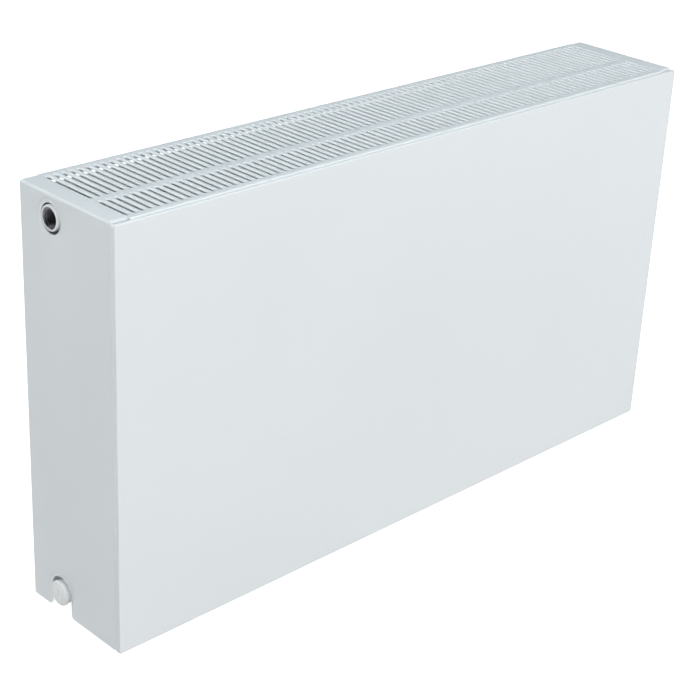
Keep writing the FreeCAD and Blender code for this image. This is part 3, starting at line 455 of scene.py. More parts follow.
def pale_floor(name):
    """White studio paper that glows evenly, so that it stays white behind the object."""
    material, surface, places = shader(name, (0.9, 0.9, 0.9), 0.9)
    vary_colour(material, surface, noise(material, places, 3, 2), (0.89, 0.89, 0.89), (0.91, 0.91, 0.91))
    surface.inputs["Emission Color"].default_value = (1, 1, 1, 1)
    surface.inputs["Emission Strength"].default_value = PAPER_GLOW
    return material


MATERIALS = {
    "white_enamel": enamel("white_enamel", (0.780, 0.814, 0.829), (0.766, 0.802, 0.818), 0.40, 0.02 * MM),
    "panel_enamel": enamel("panel_enamel", (0.78, 0.80, 0.81), (0.74, 0.765, 0.775), 0.42, 0.03 * MM),
    "white_plastic": plastic("white_plastic", (0.86, 0.875, 0.87), (0.84, 0.857, 0.852), 0.45, 0.01 * MM),
    "cap_plastic": plastic("cap_plastic", (0.80, 0.80, 0.79), (0.77, 0.77, 0.76), 0.48, 0.03 * MM),
    "ring_plastic": plastic("ring_plastic", (0.020, 0.020, 0.022), (0.014, 0.014, 0.016), 0.45, 0.03 * MM),
    "brass": machined("brass", (0.74, 0.54, 0.24), (0.62, 0.43, 0.17), 0.30, (6, 0.5, 0.5)),
    "bare_steel": plated("bare_steel", (0.62, 0.62, 0.63), (0.48, 0.48, 0.50)),
    "spring_steel": machined("spring_steel", (0.42, 0.42, 0.44), (0.32, 0.32, 0.34), 0.32, (1, 1, 1)),
    "rubber": rubber("rubber", (0.022, 0.022, 0.023), (0.013, 0.013, 0.014)),
    "adhesive": rubber("adhesive", (0.62, 0.62, 0.58), (0.52, 0.52, 0.48)),
}
# Near-black steel for the open tapping: its colour is partly bare steel and partly painted shade of the
# bore.
THREAD_STEEL_PAINTED_SHADE = machined("thread_steel_painted_shade", (0.16, 0.16, 0.17), (0.07, 0.07, 0.08), 0.38, (6, 0.5, 0.5))


def paint_cad_nodes():
    """Give every CAD node the material of its slot."""
    for part in frame["record"]["subparts"]:
        node = frame["nodes"][part["node"]]
        node.data.materials.clear()
        node.data.materials.append(MATERIALS[part["material_slot"]])


# ---------------------------------------------------------------------- casing

def pan_edge(loop, normals, inward, bend, widths, closed, steps=6):
    """The bend and flange around a pressed sheet, as a grid from its flat face outwards.

    `loop` and `normals` are the inset outline and its outward directions, as 3-D vectors.
    """
    points = []
    for place, normal, width in zip(loop, normals, widths):
        for step in range(steps + 1):
            angle = math.pi / 2 * step / steps
            points.append(place + normal * bend * math.sin(angle)
                          + inward * bend * (1 - math.cos(angle)))
        points.append(place + normal * bend + inward * width)
    return points, grid_faces(len(loop), steps + 2, wrap_rows=closed)


def directions(path, closed, within):
    """Unit normals of a 2-D path, on the side that faces away from a point inside it."""
    found = []
    count = len(path)
    for index in range(count):
        before = path[index - 1] if closed or index > 0 else path[index]
        after = path[(index + 1) % count] if closed or index < count - 1 else path[index]
        along = (after - before).normalized()
        normal = Vector((along.y, -along.x))
        found.append(normal if (path[index] - within).dot(normal) > 0 else -normal)
    return found


def front_plate():
    """The flat front with its corners rounded and its flanges turned back."""
    low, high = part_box("front_plate")
    inset = PLATE_BEND
    corners = [(low.x + inset, low.z + inset), (high.x - inset, low.z + inset),
               (high.x - inset, high.z - inset), (low.x + inset, high.z - inset)]
    outline = rounded_path(corners, PLATE_CORNER - inset, steps=5, closed=True)
    middle = Vector(((low.x + high.x) / 2, (low.z + high.z) / 2))
    normals = directions(outline, True, middle)
    loop = [Vector((point.x, low.y, point.y)) for point in outline]
    outwards = [Vector((normal.x, 0, normal.y)) for normal in normals]
    top = high.z - inset - PLATE_CORNER
    widths = [PLATE_TOP_FLANGE if point.y > top and abs(normal.y) > 0.9 else high.y - low.y
              for point, normal in zip(outline, normals)]
    edge = pan_edge(loop, outwards, Vector((0, 1, 0)), PLATE_BEND, widths, closed=True)
    points, faces = joined(edge, (loop, [tuple(range(len(loop)))]))
    piece("front_plate_sheet", points, faces, MATERIALS["white_enamel"], slot="white_enamel",
          nodes=["front_plate"], facing=(0, -1, 0), gauge=PLATE_GAUGE)


def arc(middle, radius, start, end, steps):
    """Points on an arc from one angle to another, in degrees."""
    return [Vector((middle[0] + radius * math.cos(math.radians(start + (end - start) * step / steps)),
                    middle[1] + radius * math.sin(math.radians(start + (end - start) * step / steps))))
            for step in range(steps + 1)]


def notch_distance(point, middle):
    """How far a point of the cover's face is outside the edge of the lower notch."""
    across = point[0] - middle[0]
    rise = max(0.0, point[1] - middle[1])
    return math.hypot(across, rise) - NOTCH_RADIUS


def dimple(distance):
    """How deep the sheet is pressed in at a distance from a hole's edge."""
    return DIMPLE_DEPTH * (1 - smooth_step((distance - DIMPLE_FLAT) / (DIMPLE_WIDTH - DIMPLE_FLAT)))


def side_cover(label, side, body, hole_middle, hole_radius, dimpled):
    """A folded cover, its sheet pressed in a little around the openings for the tappings."""
    low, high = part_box(label)
    face = low.x if side < 0 else high.x
    bend = COVER_BEND
    foot, top = low.z, high.z
    front, rear = low.y, high.y
    step = 0.5 * MM
    lip_top = top - COVER_LIP_END
    path = [Vector((front + bend, foot)), Vector((front + bend, lip_top - step)),
            Vector((front + bend, lip_top + step))]
    corner = COVER_FRONT_CORNER - bend
    path += arc((front + COVER_FRONT_CORNER, top - COVER_FRONT_CORNER), corner, 180, 90, 5)
    corner = COVER_REAR_CORNER - bend
    path += arc((rear - COVER_REAR_CORNER, top - COVER_REAR_CORNER), corner, 90, 0, 10)
    path.append(Vector((rear - bend, foot)))
    normals = directions(path, False, Vector(((front + rear) / 2, (foot + top) / 2)))
    normals[0] = normals[1] = normals[2] = Vector((-1, 0))
    normals[-1] = Vector((1, 0))
    flange = high.x - low.x
    widths = [COVER_LIP] * 2 + [flange] * (len(path) - 2)
    inward = Vector((-side, 0, 0))
    loop = [Vector((face, point.x, point.y)) for point in path]
    outwards = [Vector((0, normal.x, normal.y)) for normal in normals]
    edge = pan_edge(loop, outwards, inward, bend, widths, closed=False)

    notch = (TAP_Y + NOTCH_SHIFT[0], LOW_Z + NOTCH_SHIFT[1])
    wide = NOTCH_RADIUS + NOTCH_FOOT
    cut = arc((notch[0] + wide, foot + NOTCH_FOOT), NOTCH_FOOT, 270, 180, 6)
    cut += arc(notch, NOTCH_RADIUS, 0, 180, 40)
    cut += arc((notch[0] - wide, foot + NOTCH_FOOT), NOTCH_FOOT, 0, -90, 6)
    outline = path + cut
    hole = arc(hole_middle, hole_radius, 0, 360, 64)[:-1]
    extra = []
    for share in range(1, 9):
        distance = DIMPLE_WIDTH * share / 8
        rings = arc(notch, NOTCH_RADIUS + distance, 0, 180, 40)
        rings += [Vector((notch[0] + way * (NOTCH_RADIUS + distance), foot + NOTCH_FOOT + lift * MM))
                  for way in (-1, 1) for lift in (4, 9, 14, 19)]
        if dimpled:
            rings += arc(hole_middle, hole_radius + distance, 0, 360, 64)[:-1]
        extra += [point for point in rings
                  if foot + NOTCH_FOOT < point.y < top - bend - step and point.x < rear - bend - step]
    made, triangles = filled(outline, [hole], extra)

    def pressed(point):
        depth = dimple(notch_distance(point, notch)) * smooth_step((point[1] - foot) / (6 * MM))
        if dimpled:
            away = math.hypot(point[0] - hole_middle[0], point[1] - hole_middle[1]) - hole_radius
            under_bend = smooth_step((top - bend - point[1]) / (2 * MM))
            depth = max(depth, dimple(away) * under_bend)
        return depth

    skin = [Vector((face, point.x, point.y)) + inward * pressed(point) for point in made]
    points, faces = joined(edge, (skin, triangles))
    piece(label + "_sheet", points, faces, MATERIALS["white_enamel"], body=body, slot="white_enamel",
          nodes=[label], facing=(side, 0, 0), gauge=COVER_GAUGE)


def slot_ring(middle, front, rear, offset, height, ends):
    """A ring of points around a slot, an offset outside its clear edge but inside the sheet's ends."""
    radius = SLOT_HALF + offset
    near_end = arc((middle, front + SLOT_HALF), radius, 180, 360, SLOT_END_STEPS)
    far_end = arc((middle, rear - SLOT_HALF), radius, 0, 180, SLOT_END_STEPS)
    return [Vector((min(max(point.x, ends[0]), ends[-1]), point.y, height)) for point in near_end + far_end]


def around_slot(left, right, front, rear, height, ring):
    """Points and faces that fill the rectangle of sheet around a slot's outermost ring."""
    corners = [Vector((left, front, height)), Vector((right, front, height)),
               Vector((right, rear, height)), Vector((left, rear, height))]
    half = SLOT_END_STEPS // 2
    count = len(ring)
    second = SLOT_END_STEPS + 1
    owners = []
    for index in range(count):
        if index < second:
            owners.append(0 if index < half else 1)
        else:
            owners.append(2 if index - second < half else 3)
    faces = []
    for index in range(count):
        following = (index + 1) % count
        here, there = owners[index], owners[following]
        face = [4 + index, 4 + following]
        faces.append(tuple(face + ([here] if here == there else [there, here])))
    return corners + ring, faces


def top_grille():
    """The pressed grille: every slot has a rolled edge and a rim that is turned down."""
    low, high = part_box("top_grille")
    top, under = high.z, high.z - GRILLE_GAUGE
    front, rear = low.y + GRILLE_BEND, high.y - GRILLE_BEND
    face = low.y - 4 * MM
    rows = [(face + start, face + end) for start, end in SLOT_ROWS]
    split = (rows[0][1] + rows[1][0]) / 2
    limits = [(front, split), (split, rear)]
    ends = [low.x] + [(index - SLOT_COUNT / 2) * SLOT_PITCH for index in range(1, SLOT_COUNT)] + [high.x]
    parts = []
    for index in range(SLOT_COUNT):
        left, right = ends[index], ends[index + 1]
        middle = (index - (SLOT_COUNT - 1) / 2) * SLOT_PITCH
        under_left = max(left, low.x + GRILLE_END_SKIRT)
        under_right = min(right, high.x - GRILLE_END_SKIRT)
        for (start, end), (row_front, row_rear) in zip(rows, limits):
            rings = []
            for step in range(SLOT_ROLL_STEPS + 1):
                angle = math.pi / 2 * step / SLOT_ROLL_STEPS
                rings.append(slot_ring(middle, start, end, SLOT_ROLL * (1 - math.sin(angle)),
                                       top - SLOT_ROLL * (1 - math.cos(angle)), ends))
            rings.append(slot_ring(middle, start, end, 0, top - SLOT_RIM_DEPTH, ends))
            rings.append(slot_ring(middle, start, end, SLOT_RIM_GAUGE, top - SLOT_RIM_DEPTH, ends))
            rings.append(slot_ring(middle, start, end, SLOT_RIM_GAUGE, under, ends))
            wall = [point for ring in rings for point in ring]
            parts.append((wall, grid_faces(len(rings), len(rings[0]), wrap_columns=True)))
            parts.append(around_slot(left, right, row_front, row_rear, top, rings[0]))
            parts.append(around_slot(under_left, under_right, row_front, row_rear, under, rings[-1]))
    parts += [grille_fold(ends, low, high, side) for side in (-1, 1)]
    parts += [grille_end(low, high, split, side) for side in (-1, 1)]
    points, faces = joined(*parts)
    piece("top_grille_sheet", points, faces, MATERIALS["white_enamel"], body="grille",
          slot="white_enamel", nodes=["top_grille"], sharp=50)


def grille_section(low, high, side, radius, level, steps=6):
    """(y, z) points of the front or rear fold, from the flat sheet down to the skirt's edge."""
    wall = low.y + GRILLE_BEND if side < 0 else high.y - GRILLE_BEND
    points = []
    for step in range(steps + 1):
        angle = math.pi / 2 * step / steps
        points.append((wall + side * radius * math.sin(angle),
                       level - radius * (1 - math.cos(angle))))
    return points + [(wall + side * radius, low.z)]


def grille_fold(ends, low, high, side):
    """The bend and the skirt along the front or the rear of the grille."""
    outer = grille_section(low, high, side, GRILLE_BEND, high.z)
    inner = grille_section(low, high, side, GRILLE_BEND - GRILLE_GAUGE, high.z - GRILLE_GAUGE)
    section = outer + inner[::-1]
    points = []
    for place in ends:
        clipped = max(low.x + GRILLE_END_SKIRT, min(high.x - GRILLE_END_SKIRT, place))
        points += [Vector((place, y, z)) for y, z in outer]
        points += [Vector((clipped, y, z)) for y, z in inner[::-1]]
    faces = []
    count = len(section)
    for row in range(len(ends) - 1):
        for column in range(count - 1):
            faces.append((row * count + column, row * count + column + 1,
                          (row + 1) * count + column + 1, (row + 1) * count + column))
    return points, faces


def grille_end(low, high, split, side):
    """The short skirt at one end of the grille."""
    outer_x = low.x if side < 0 else high.x
    inner_x = outer_x - side * GRILLE_END_SKIRT
    shells = []
    for place, radius, level in ((outer_x, GRILLE_BEND, high.z),
                                 (inner_x, GRILLE_BEND - GRILLE_GAUGE, high.z - GRILLE_GAUGE)):
        front = grille_section(low, high, -1, radius, level)
        rear = grille_section(low, high, 1, radius, level)
        outline = front[::-1] + [(split, level)] + rear
        shells.append([Vector((place, y, z)) for y, z in outline])
    count = len(shells[0])
    faces = [tuple(range(count)), tuple(range(2 * count - 1, count - 1, -1)),
             (0, count - 1, 2 * count - 1, count)]
    return shells[0] + shells[1], faces


# ---------------------------------------------------------------------- water panels

def crest_height(x, z, low, high):
    """How far a pressed shell stands out from its seam at a point."""
    edge = min(x - low.x, high.x - x) - CREST_MARGIN
    foot = LOW_Z - HEADER_HALF
    head = HIGH_Z + HEADER_HALF
    rise = min(edge, z - foot, head - z)
    outer = smooth_step(rise / CREST_SLOPE)
    nearest = round(x / CHANNEL_PITCH)
    reach = CHANNELS // 2 - 1
    nearest = max(-reach, min(reach, nearest))
    start = foot + 2 * HEADER_HALF + VALLEY_HALF + VALLEY_SLOPE
    end = head - 2 * HEADER_HALF - VALLEY_HALF - VALLEY_SLOPE
    nearby = max(start, min(end, z))
    away = math.hypot(x - nearest * CHANNEL_PITCH, z - nearby)
    valley = smooth_step((away - VALLEY_HALF) / VALLEY_SLOPE)
    return (SHELL_CREST - SHELL_GAUGE) * outer * valley


def fine_steps(low, high, marks, spread, step, coarse):
    """Places from low to high, close together near the marks and far apart elsewhere."""
    places = [low, high]
    for mark in marks:
        count = int(spread / step)
        places += [mark + index * step for index in range(-count, count + 1)]
    place = low
    while place < high:
        places.append(place)
        place += coarse
    kept = []
    for place in sorted(places):
        if low <= place <= high and (not kept or place - kept[-1] > 0.4 * step):
            kept.append(place)
    kept[-1] = high
    return kept


def pressed_shell(node, side):
    """One pressed half of a water panel, with rounded headers, channels and valleys."""
    low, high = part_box(node)
    seam = low.y if side > 0 else high.y
    foot = LOW_Z - HEADER_HALF
    head = HIGH_Z + HEADER_HALF
    margins = [low.x + CREST_MARGIN + CREST_SLOPE / 2, high.x - CREST_MARGIN - CREST_SLOPE / 2]
    valleys = [(index - CHANNELS / 2 + 1) * CHANNEL_PITCH for index in range(CHANNELS - 1)]
    across = fine_steps(low.x, high.x, margins + valleys, 8.4 * MM, 1.2 * MM, 40 * MM)
    marks = [foot + CREST_SLOPE / 2, foot + 2 * HEADER_HALF + 3 * MM,
             head - 2 * HEADER_HALF - 3 * MM, head - CREST_SLOPE / 2]
    up = fine_steps(low.z, high.z, marks, 7 * MM, 1.2 * MM, 60 * MM)
    points = [Vector((x, seam + side * (SHELL_GAUGE + crest_height(x, z, low, high)), z))
              for z in up for x in across]
    piece(node + "_pressing", points, grid_faces(len(up), len(across)), MATERIALS["panel_enamel"],
          slot="panel_enamel", nodes=[node], facing=(0, side, 0), gauge=SHELL_GAUGE, sharp=60)


def convector(node, base_side, folds):
    """The folded fins, with rounded bends where the sheet turns."""
    low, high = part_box(node)
    half = FIN_GAUGE / 2
    base = low.y + half if base_side < 0 else high.y - half
    crown = high.y - half if base_side < 0 else low.y + half
    path = [(low.x, base)]
    for index in range(folds):
        middle = low.x + CHANNEL_PITCH * (index + 0.5)
        left, right = middle - FIN_CROWN / 2 - half, middle + FIN_CROWN / 2 + half
        path += [(left, base), (left, crown), (right, crown), (right, base)]
    path.append((high.x, base))
    bent = rounded_path(path, SHEET_BEND)
    points = [Vector((point.x, point.y, z)) for z in (low.z, high.z) for point in bent]
    piece(node + "_fins", points, grid_faces(2, len(bent)), MATERIALS["panel_enamel"],
          slot="panel_enamel", nodes=[node], gauge=FIN_GAUGE, offset=0)


# ---------------------------------------------------------------------- pipework

def weld_bead(centre, axis, radius, thick):
    """A ring of overlapping weld ripples."""
    along, across, up = axes_of(axis)
    rows, columns = 144, 10
    points = []
    for row in range(rows):
        angle = 2 * math.pi * row / rows
        out = across * math.cos(angle) + up * math.sin(angle)
        swell = thick * (1 + 0.12 * math.sin(36 * angle))
        for column in range(columns):
            turn = 2 * math.pi * column / columns
            points.append(Vector(centre) + out * (radius + swell * math.cos(turn))
                          + along * swell * math.sin(turn))
    return points, grid_faces(rows, columns, wrap_rows=True, wrap_columns=True)


def tee_fitting(node, side, height):
    """A steel tee: a cross pipe between two panels, and a boss with its lip rounded over."""
    low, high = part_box(node)
    mouth = low.x if side < 0 else high.x
    centre = Vector((side * TEE_CENTRE, TAP_Y, height))
    reach = abs(mouth - centre.x)
    lip = 0.7 * MM
    profile = [(0, WATER_RADIUS), (reach - 16 * MM, WATER_RADIUS), (reach - 16 * MM, THREAD_RADIUS),
               (reach - MOUTH_CHAMFER, THREAD_RADIUS), (reach - 0.1 * MM, THREAD_RADIUS + MOUTH_CHAMFER)]
    profile += [(reach - lip + lip * math.sin(angle), BOSS_RADIUS - lip + lip * math.cos(angle))
                for angle in (math.pi / 2, math.pi / 3, math.pi / 6, 0)]
    profile.append((0, BOSS_RADIUS))
    boss = lathe(profile, centre, (side, 0, 0), ROUND_STEPS)
    pipe = lathe([(low.y - TAP_Y, WATER_RADIUS), (high.y - TAP_Y, WATER_RADIUS),
                  (high.y - TAP_Y, BOSS_RADIUS), (low.y - TAP_Y, BOSS_RADIUS)], centre, (0, 1, 0))
    beads = [weld_bead((centre.x, place, height), (0, 1, 0), BOSS_RADIUS, 1.1 * MM)
             for place in (low.y + 0.8 * MM, high.y - 0.8 * MM)]
    points, faces = joined(boss, pipe, *beads)
    piece(node + "_fitting", points, faces, MATERIALS["panel_enamel"], slot="panel_enamel",
          nodes=[node])


def tapping_thread(name, node, side, height):
    """The female thread that shows in an open tapping, and the metal of its bore and mouth, coloured near
    black: partly bare steel and partly painted shade of the deep bore.
    """
    low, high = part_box(node)
    mouth = Vector((low.x if side < 0 else high.x, TAP_Y, height))
    ridge = thread_ridge(mouth, (side, 0, 0), -15 * MM, -1.6 * MM, THREAD_RADIUS - 0.02 * MM,
                         THREAD_CREST, THREAD_PITCH)
    bore, edge = THREAD_RADIUS, THREAD_RADIUS + MOUTH_CHAMFER
    skin = 0.03 * MM
    sleeve = lathe([(-BORE_DEPTH, bore - skin), (-MOUTH_CHAMFER, bore - skin), (-0.1 * MM, edge - skin),
                    (-0.1 * MM, edge + skin), (-MOUTH_CHAMFER, bore + skin), (-BORE_DEPTH, bore + skin)],
                   mouth, (side, 0, 0), ROUND_STEPS)
    points, faces = joined(ridge, sleeve)
    piece(name, points, faces, THREAD_STEEL_PAINTED_SHADE, slot="bare_steel")


def blanking_plug(node, side, body):
    """A domed plug with a rounded rim and a screwdriver slot."""
    mouth = Vector((side * PLUG_MOUTH, TAP_Y, LOW_Z))
    flange = 15 * MM
    crown, brim = 5 * MM, 3.1 * MM
    dome_radius = flange - 0.9 * MM
    steps = 14
    dome = []
    for step in range(steps + 1):
        share = step / steps
        radius = dome_radius * math.sin(math.pi / 2 * share)
        dome.append((brim + (crown - brim) * math.cos(math.pi / 2 * share) ** 0.8, radius))
    seat, edge = 0.3 * MM, 0.2 * MM
    rim = [(2.9 * MM, flange - edge), (2.5 * MM, flange), (0.5 * MM, flange), (seat, flange - edge)]
    neck, tip = -2 * MM, -13 * MM
    shank = [(seat, 9.6 * MM), (neck, 9.6 * MM), (neck, 9.4 * MM), (tip, SHANK_ROOT), (tip, 0)]
    body_mesh = lathe(dome + rim + shank, mouth, (side, 0, 0), ROUND_STEPS)
    ridge = thread_ridge(mouth, (side, 0, 0), -12.4 * MM, -2.4 * MM, SHANK_ROOT - 0.02 * MM,
                         SHANK_CREST, THREAD_PITCH)
    made = piece(node + "_moulding", *body_mesh, MATERIALS["white_plastic"], body=body,
                 slot="white_plastic", nodes=[node])
    cut_slot(made, mouth, side)
    finish_piece(made, MATERIALS["white_plastic"], body, [node], 50)
    piece(node + "_thread", *ridge, MATERIALS["white_plastic"], body=body, slot="white_plastic")


def cut_slot(made, mouth, side):
    """Cut the tilted screwdriver slot into a plug and round its edges."""
    half_length, half_width = 7 * MM, 1.3 * MM
    floor, above = 2.6 * MM, 9 * MM
    outline = rounded_path([(-half_width, -half_length), (half_width, -half_length),
                            (half_width, half_length), (-half_width, half_length)],
                           1.2 * MM, steps=5, closed=True)
    tilt = Matrix.Rotation(SLOT_TILT, 3, "X")
    work = bmesh.new()
    rings = []
    for depth in (floor, above):
        rings.append([work.verts.new(mouth + tilt @ Vector((side * depth, point.x, point.y)))
                      for point in outline])
    count = len(outline)
    for index in range(count):
        following = (index + 1) % count
        work.faces.new((rings[0][index], rings[0][following], rings[1][following], rings[1][index]))
    for ring in rings:
        work.faces.new(ring)
    bmesh.ops.recalc_face_normals(work, faces=work.faces)
    mesh = bpy.data.meshes.new("slot_cutter")
    work.to_mesh(mesh)
    work.free()
    cutter = linked("slot_cutter", mesh)
    cut = made.modifiers.new("slot", "BOOLEAN")
    cut.object = cutter
    cut.operation = "DIFFERENCE"
    cut.solver = "EXACT"
    settle(made)
    bpy.data.objects.remove(cutter)
    soften(made, 0.22 * MM)


# ---------------------------------------------------------------------- bottom connections

def hexagon(centre, axis, low, high, radius):
    """A hexagon prism along an axis, its corners chamfered at both ends."""
    along, across, up = axes_of(axis)
    chamfer = 0.07 * radius
    points = []
    for place, size in ((low, radius - chamfer), (low + chamfer / 2, radius),
                        (high - chamfer / 2, radius), (high, radius - chamfer)):
        for corner in range(6):
            angle = math.pi / 3 * corner
            points.append(Vector(centre) + along * place
                          + (across * math.cos(angle) + up * math.sin(angle)) * size)
    faces = grid_faces(4, 6, wrap_columns=True)
    return points, faces + [tuple(range(6)), tuple(range(18, 24))]


def threaded_nipple(node, hexagonal):
    """A G 3/4 nipple with its thread, its chamfered mouth and, on the feed, a hexagon."""
    low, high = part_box(node)
    centre = Vector(((low.x + high.x) / 2, (low.y + high.y) / 2, low.z))
    root, crest = 12.1 * MM, 13.2 * MM
    bore = 6.8 * MM
    thread = 9.6 * MM
    collar = 11 * MM if hexagonal else WATER_RADIUS - 0.05 * MM
    length = high.z - low.z
    profile = [(0, bore), (0, root - 0.8 * MM), (0.8 * MM, root), (thread, root), (thread, collar),
               (length, collar), (length, 8.1 * MM if hexagonal else bore), (length - 9 * MM, bore)]
    parts = [lathe(profile, centre, (0, 0, 1)),
             thread_ridge(centre, (0, 0, 1), 0.9 * MM, thread - 0.6 * MM, root - 0.02 * MM, crest,
                          THREAD_PITCH)]
    if hexagonal:
        parts.append(hexagon(centre, (0, 0, 1), thread + 0.4 * MM, 20 * MM, 15.5 * MM))
    points, faces = joined(*parts)
    piece(node + "_nipple", points, faces, MATERIALS["bare_steel"], slot="bare_steel", nodes=[node],
          sharp=30)


# ---------------------------------------------------------------------- valve

def protective_cap():
    """The ribbed cap over the valve's head: grip ribs that fade out at both ends."""
    mouth = Vector((VALVE_MOUTH, TAP_Y, HIGH_Z))
    along, across, up = axes_of((1, 0, 0))
    ribs, per_rib = 24, 10
    columns = ribs * per_rib
    outer = [(8.5, 18.2, 0), (8.7, 18.4, 0), (9.4, 18.5, 0.3), (10.2, 18.5, 1), (13, 18.45, 1),
             (16, 18.3, 1), (18.4, 18.2, 1), (19.4, 18.1, 0.3), (20.2, 17.9, 0), (21.2, 17.3, 0),
             (21.8, 16.5, 0), (22, 15.6, 0), (22, 13, 0), (21.5, 12.2, 0), (21.5, 0, 0)]
    inner = [(19.7, 0, 0), (19.7, 15, 0), (8.5, 15.05, 0)]
    section = outer + inner
    points = []
    for column in range(columns):
        angle = 2 * math.pi * column / columns
        out = across * math.cos(angle) + up * math.sin(angle)
        ridge = max(0.0, math.cos(ribs * angle)) ** 0.8
        for place, radius, rib in section:
            points.append(mouth + along * place * MM + out * (radius + 1.1 * ridge * rib) * MM)
    faces = grid_faces(columns, len(section), wrap_rows=True, wrap_columns=True)
    piece("protective_cap_moulding", points, faces, MATERIALS["cap_plastic"], body="cap",
          slot="cap_plastic", nodes=["protective_cap"], sharp=50)


def valve_insert():
    """The brass insert: a hexagon, and the M30x1.5 thread under the cap."""
    mouth = Vector((VALVE_MOUTH, TAP_Y, HIGH_Z))
    root, crest = 14.05, 14.95
    profile = [(-15, 2.55), (-15, 8.9), (-14, 9.35), (-2, 9.35), (-2, 9.6), (0.3, 9.6), (0.3, 12.6),
               (5, 12.6), (5, root), (13.2, root), (14, root - 0.8), (14, 8), (7, 8), (7, 2.55)]
    turned = lathe([(place * MM, radius * MM) for place, radius in profile], mouth, (1, 0, 0))
    head = thread_ridge(mouth, (1, 0, 0), 5.2 * MM, 13.6 * MM, (root - 0.02) * MM, crest * MM, 1.5 * MM)
    shank = thread_ridge(mouth, (1, 0, 0), -13.6 * MM, -2.4 * MM, 9.33 * MM, 10.4 * MM, THREAD_PITCH)
    nut = hexagon(mouth, (1, 0, 0), 0.3 * MM, 5 * MM, 14.5 * MM)
    points, faces = joined(turned, head, shank, nut)
    piece("valve_insert_turning", points, faces, MATERIALS["brass"], slot="brass",
          nodes=["valve_insert_body"], sharp=30)


def return_spring():
    """The stem's return spring, wound from round wire, its end coils closed up."""
    low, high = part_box("return_spring")
    wire = 0.5 * MM
    coil = (high.y - low.y) / 2 - wire
    centre = Vector((low.x + wire, (low.y + high.y) / 2, (low.z + high.z) / 2))
    length = high.x - low.x - 2 * wire
    turns, per_turn, around = 7.5, 40, 10
    count = int(turns * per_turn)
    points = []
    for step in range(count + 1):
        turned = step / per_turn
        share = smooth_step((turned - 0.5) / (turns - 1))
        share = 0.5 * share + 0.5 * max(0.0, min(1.0, (turned - 0.75) / (turns - 1.5)))
        angle = 2 * math.pi * turned
        out = Vector((0, math.cos(angle), math.sin(angle)))
        for spot in range(around):
            turn = 2 * math.pi * spot / around
            points.append(centre + Vector((length * share, 0, 0)) + out * (coil + wire * math.cos(turn))
                          + Vector((wire * math.sin(turn), 0, 0)))
    faces = grid_faces(count + 1, around, wrap_columns=True)
    faces += [tuple(range(around)), tuple(range(count * around, (count + 1) * around))]
    made = piece("return_spring_coil", points, faces, MATERIALS["spring_steel"], slot="spring_steel",
                 nodes=["return_spring"], sharp=60)
    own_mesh(made)


# ---------------------------------------------------------------------- fixings on the back

def hanger_lugs():
    """Four straps bent from flat bar and welded to the rear panel."""
    low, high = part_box("hanger_lugs")
    gauge = 2 * MM
    face = low.y + gauge / 2
    strap = high.y - gauge / 2
    half, gap, rise = 23 * MM, 12 * MM, 30 * MM
    corners = [(-half, face), (-gap, face), (-gap, strap), (gap, strap), (gap, face), (half, face)]
    path = rounded_path(corners, SHEET_BEND)
    parts = []
    for side in (-1, 1):
        for foot in (low.z, high.z - rise):
            points = [Vector((side * LUG_PLACE + point.x, point.y, z))
                      for z in (foot, foot + rise) for point in path]
            parts.append((points, grid_faces(2, len(path))))
    points, faces = joined(*parts)
    piece("hanger_lug_straps", points, faces, MATERIALS["panel_enamel"], slot="panel_enamel",
          nodes=["hanger_lugs"], gauge=gauge, offset=0, bevel=0.3 * MM)


# ---------------------------------------------------------------------- studio

def camera():
    """The camera the picture is taken with."""
    data = bpy.data.cameras.new("camera")
    data.lens = CAMERA_LENS
    data.sensor_width = CAMERA_SENSOR
    data.clip_start = CAMERA_NEAR
    made = linked("camera", data)
    aim = CAMERA_AIM.to_track_quat("-Z", "Y").to_matrix().to_4x4()
    made.matrix_world = Matrix.Translation(CAMERA_PLACE) @ aim @ Matrix.Rotation(CAMERA_ROLL, 4, "Z")
    bpy.context.scene.camera = made


def softbox(name, place, size, power, colour):
    """A square area light, aimed at the middle of the object."""
    data = bpy.data.lights.new(name, "AREA")
    data.shape = "RECTANGLE"
    data.size = data.size_y = size
    data.energy = power
    data.color = colour
    made = linked(name, data)
    made.location = place
    made.rotation_euler = (LIGHT_AIM - Vector(place)).to_track_quat("-Z", "Y").to_euler()
    made.visible_camera = False


def backdrop(paper):
    """A round white wall at the floor's edge, which the camera sees and the lights pass through."""
    outside = WALL_RADIUS + WALL_THICKNESS
    ring = [(0, WALL_RADIUS), (WALL_HEIGHT, WALL_RADIUS), (WALL_HEIGHT, outside), (0, outside)]
    points, faces = lathe(ring, Vector((0, 0, 0)), (0, 0, 1), ROUND_STEPS)
    mesh = bpy.data.meshes.new("backdrop")
    mesh.from_pydata([tuple(point) for point in points], [], faces)
    mesh.materials.append(paper)
    wall = linked("backdrop", mesh)
    wall.visible_diffuse = False
    wall.visible_glossy = False
    wall.visible_shadow = False


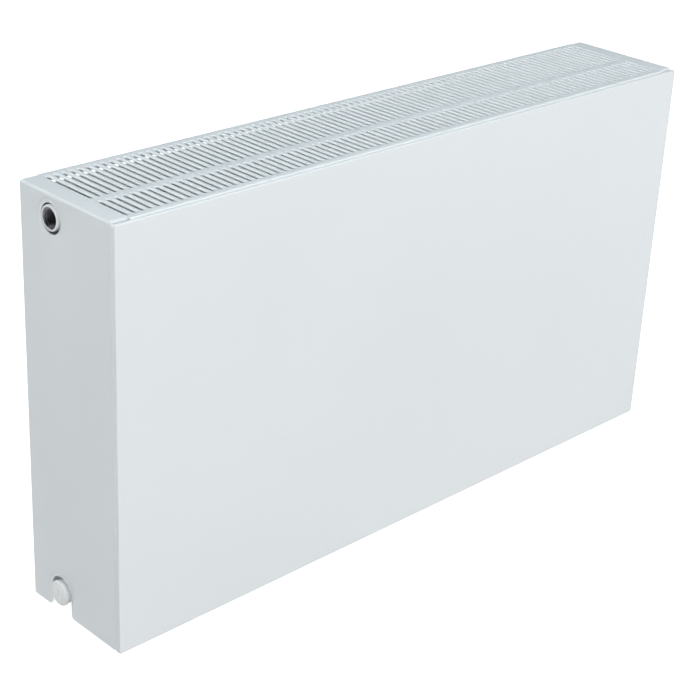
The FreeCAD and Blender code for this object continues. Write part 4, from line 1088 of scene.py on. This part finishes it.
def studio():
    """World light, four softboxes, and a white floor and wall."""
    scene = bpy.context.scene
    scene.view_settings.view_transform = "Standard"
    world = bpy.data.worlds.new("studio")
    world.use_nodes = True
    background = world.node_tree.nodes["Background"]
    background.inputs["Color"].default_value = WORLD_COLOUR
    background.inputs["Strength"].default_value = WORLD_STRENGTH
    scene.world = world
    softbox("key_softbox", (5.0, -7.2, 2.28), 3.0, 450, (1, 1, 1))
    softbox("fill_softbox", (-4.4, -4.0, 2.6), 2.4, 186, (0.98, 1, 1))
    softbox("rear_softbox", (-3.6, 3.6, 3.3), 2.8, 100, (0.97, 1, 1))
    softbox("top_softbox", (0, 0.6, 5.0), 2.0, 72, (0.8, 0.92, 1))
    work = bmesh.new()
    bmesh.ops.create_grid(work, x_segments=1, y_segments=1, size=FLOOR_HALF)
    mesh = bpy.data.meshes.new("floor")
    work.to_mesh(mesh)
    work.free()
    floor = linked("floor", mesh)
    paper = pale_floor("studio_paper")
    mesh.materials.append(paper)
    floor.visible_diffuse = False
    backdrop(paper)


# ---------------------------------------------------------------------- the radiator

camera()
paint_cad_nodes()
front_plate()
side_cover("left_side_cover", -1, "left_cover",
           (TAP_Y + TAPPING_SHIFT[0], HIGH_Z + TAPPING_SHIFT[1]), TAPPING_HOLE, dimpled=True)
side_cover("right_side_cover", 1, "right_cover", (TAP_Y, HIGH_Z), VALVE_HOLE, dimpled=False)
top_grille()
for name in ("front", "middle", "rear"):
    pressed_shell(f"{name}_panel_front_shell", -1)
    pressed_shell(f"{name}_panel_back_shell", 1)
convector("front_convector", -1, 24)
convector("middle_convector", -1, 22)
convector("rear_convector", 1, 22)
tee_fitting("upper_left_tee", -1, HIGH_Z)
tee_fitting("lower_left_tee", -1, LOW_Z)
tee_fitting("lower_right_tee", 1, LOW_Z)
tapping_thread("tapping_thread", "upper_left_tee", -1, HIGH_Z)
blanking_plug("left_blanking_plug", -1, "left_plug")
blanking_plug("right_blanking_plug", 1, "right_plug")
threaded_nipple("flow_connector", hexagonal=True)
threaded_nipple("return_connector", hexagonal=False)
protective_cap()
valve_insert()
return_spring()
hanger_lugs()
studio()
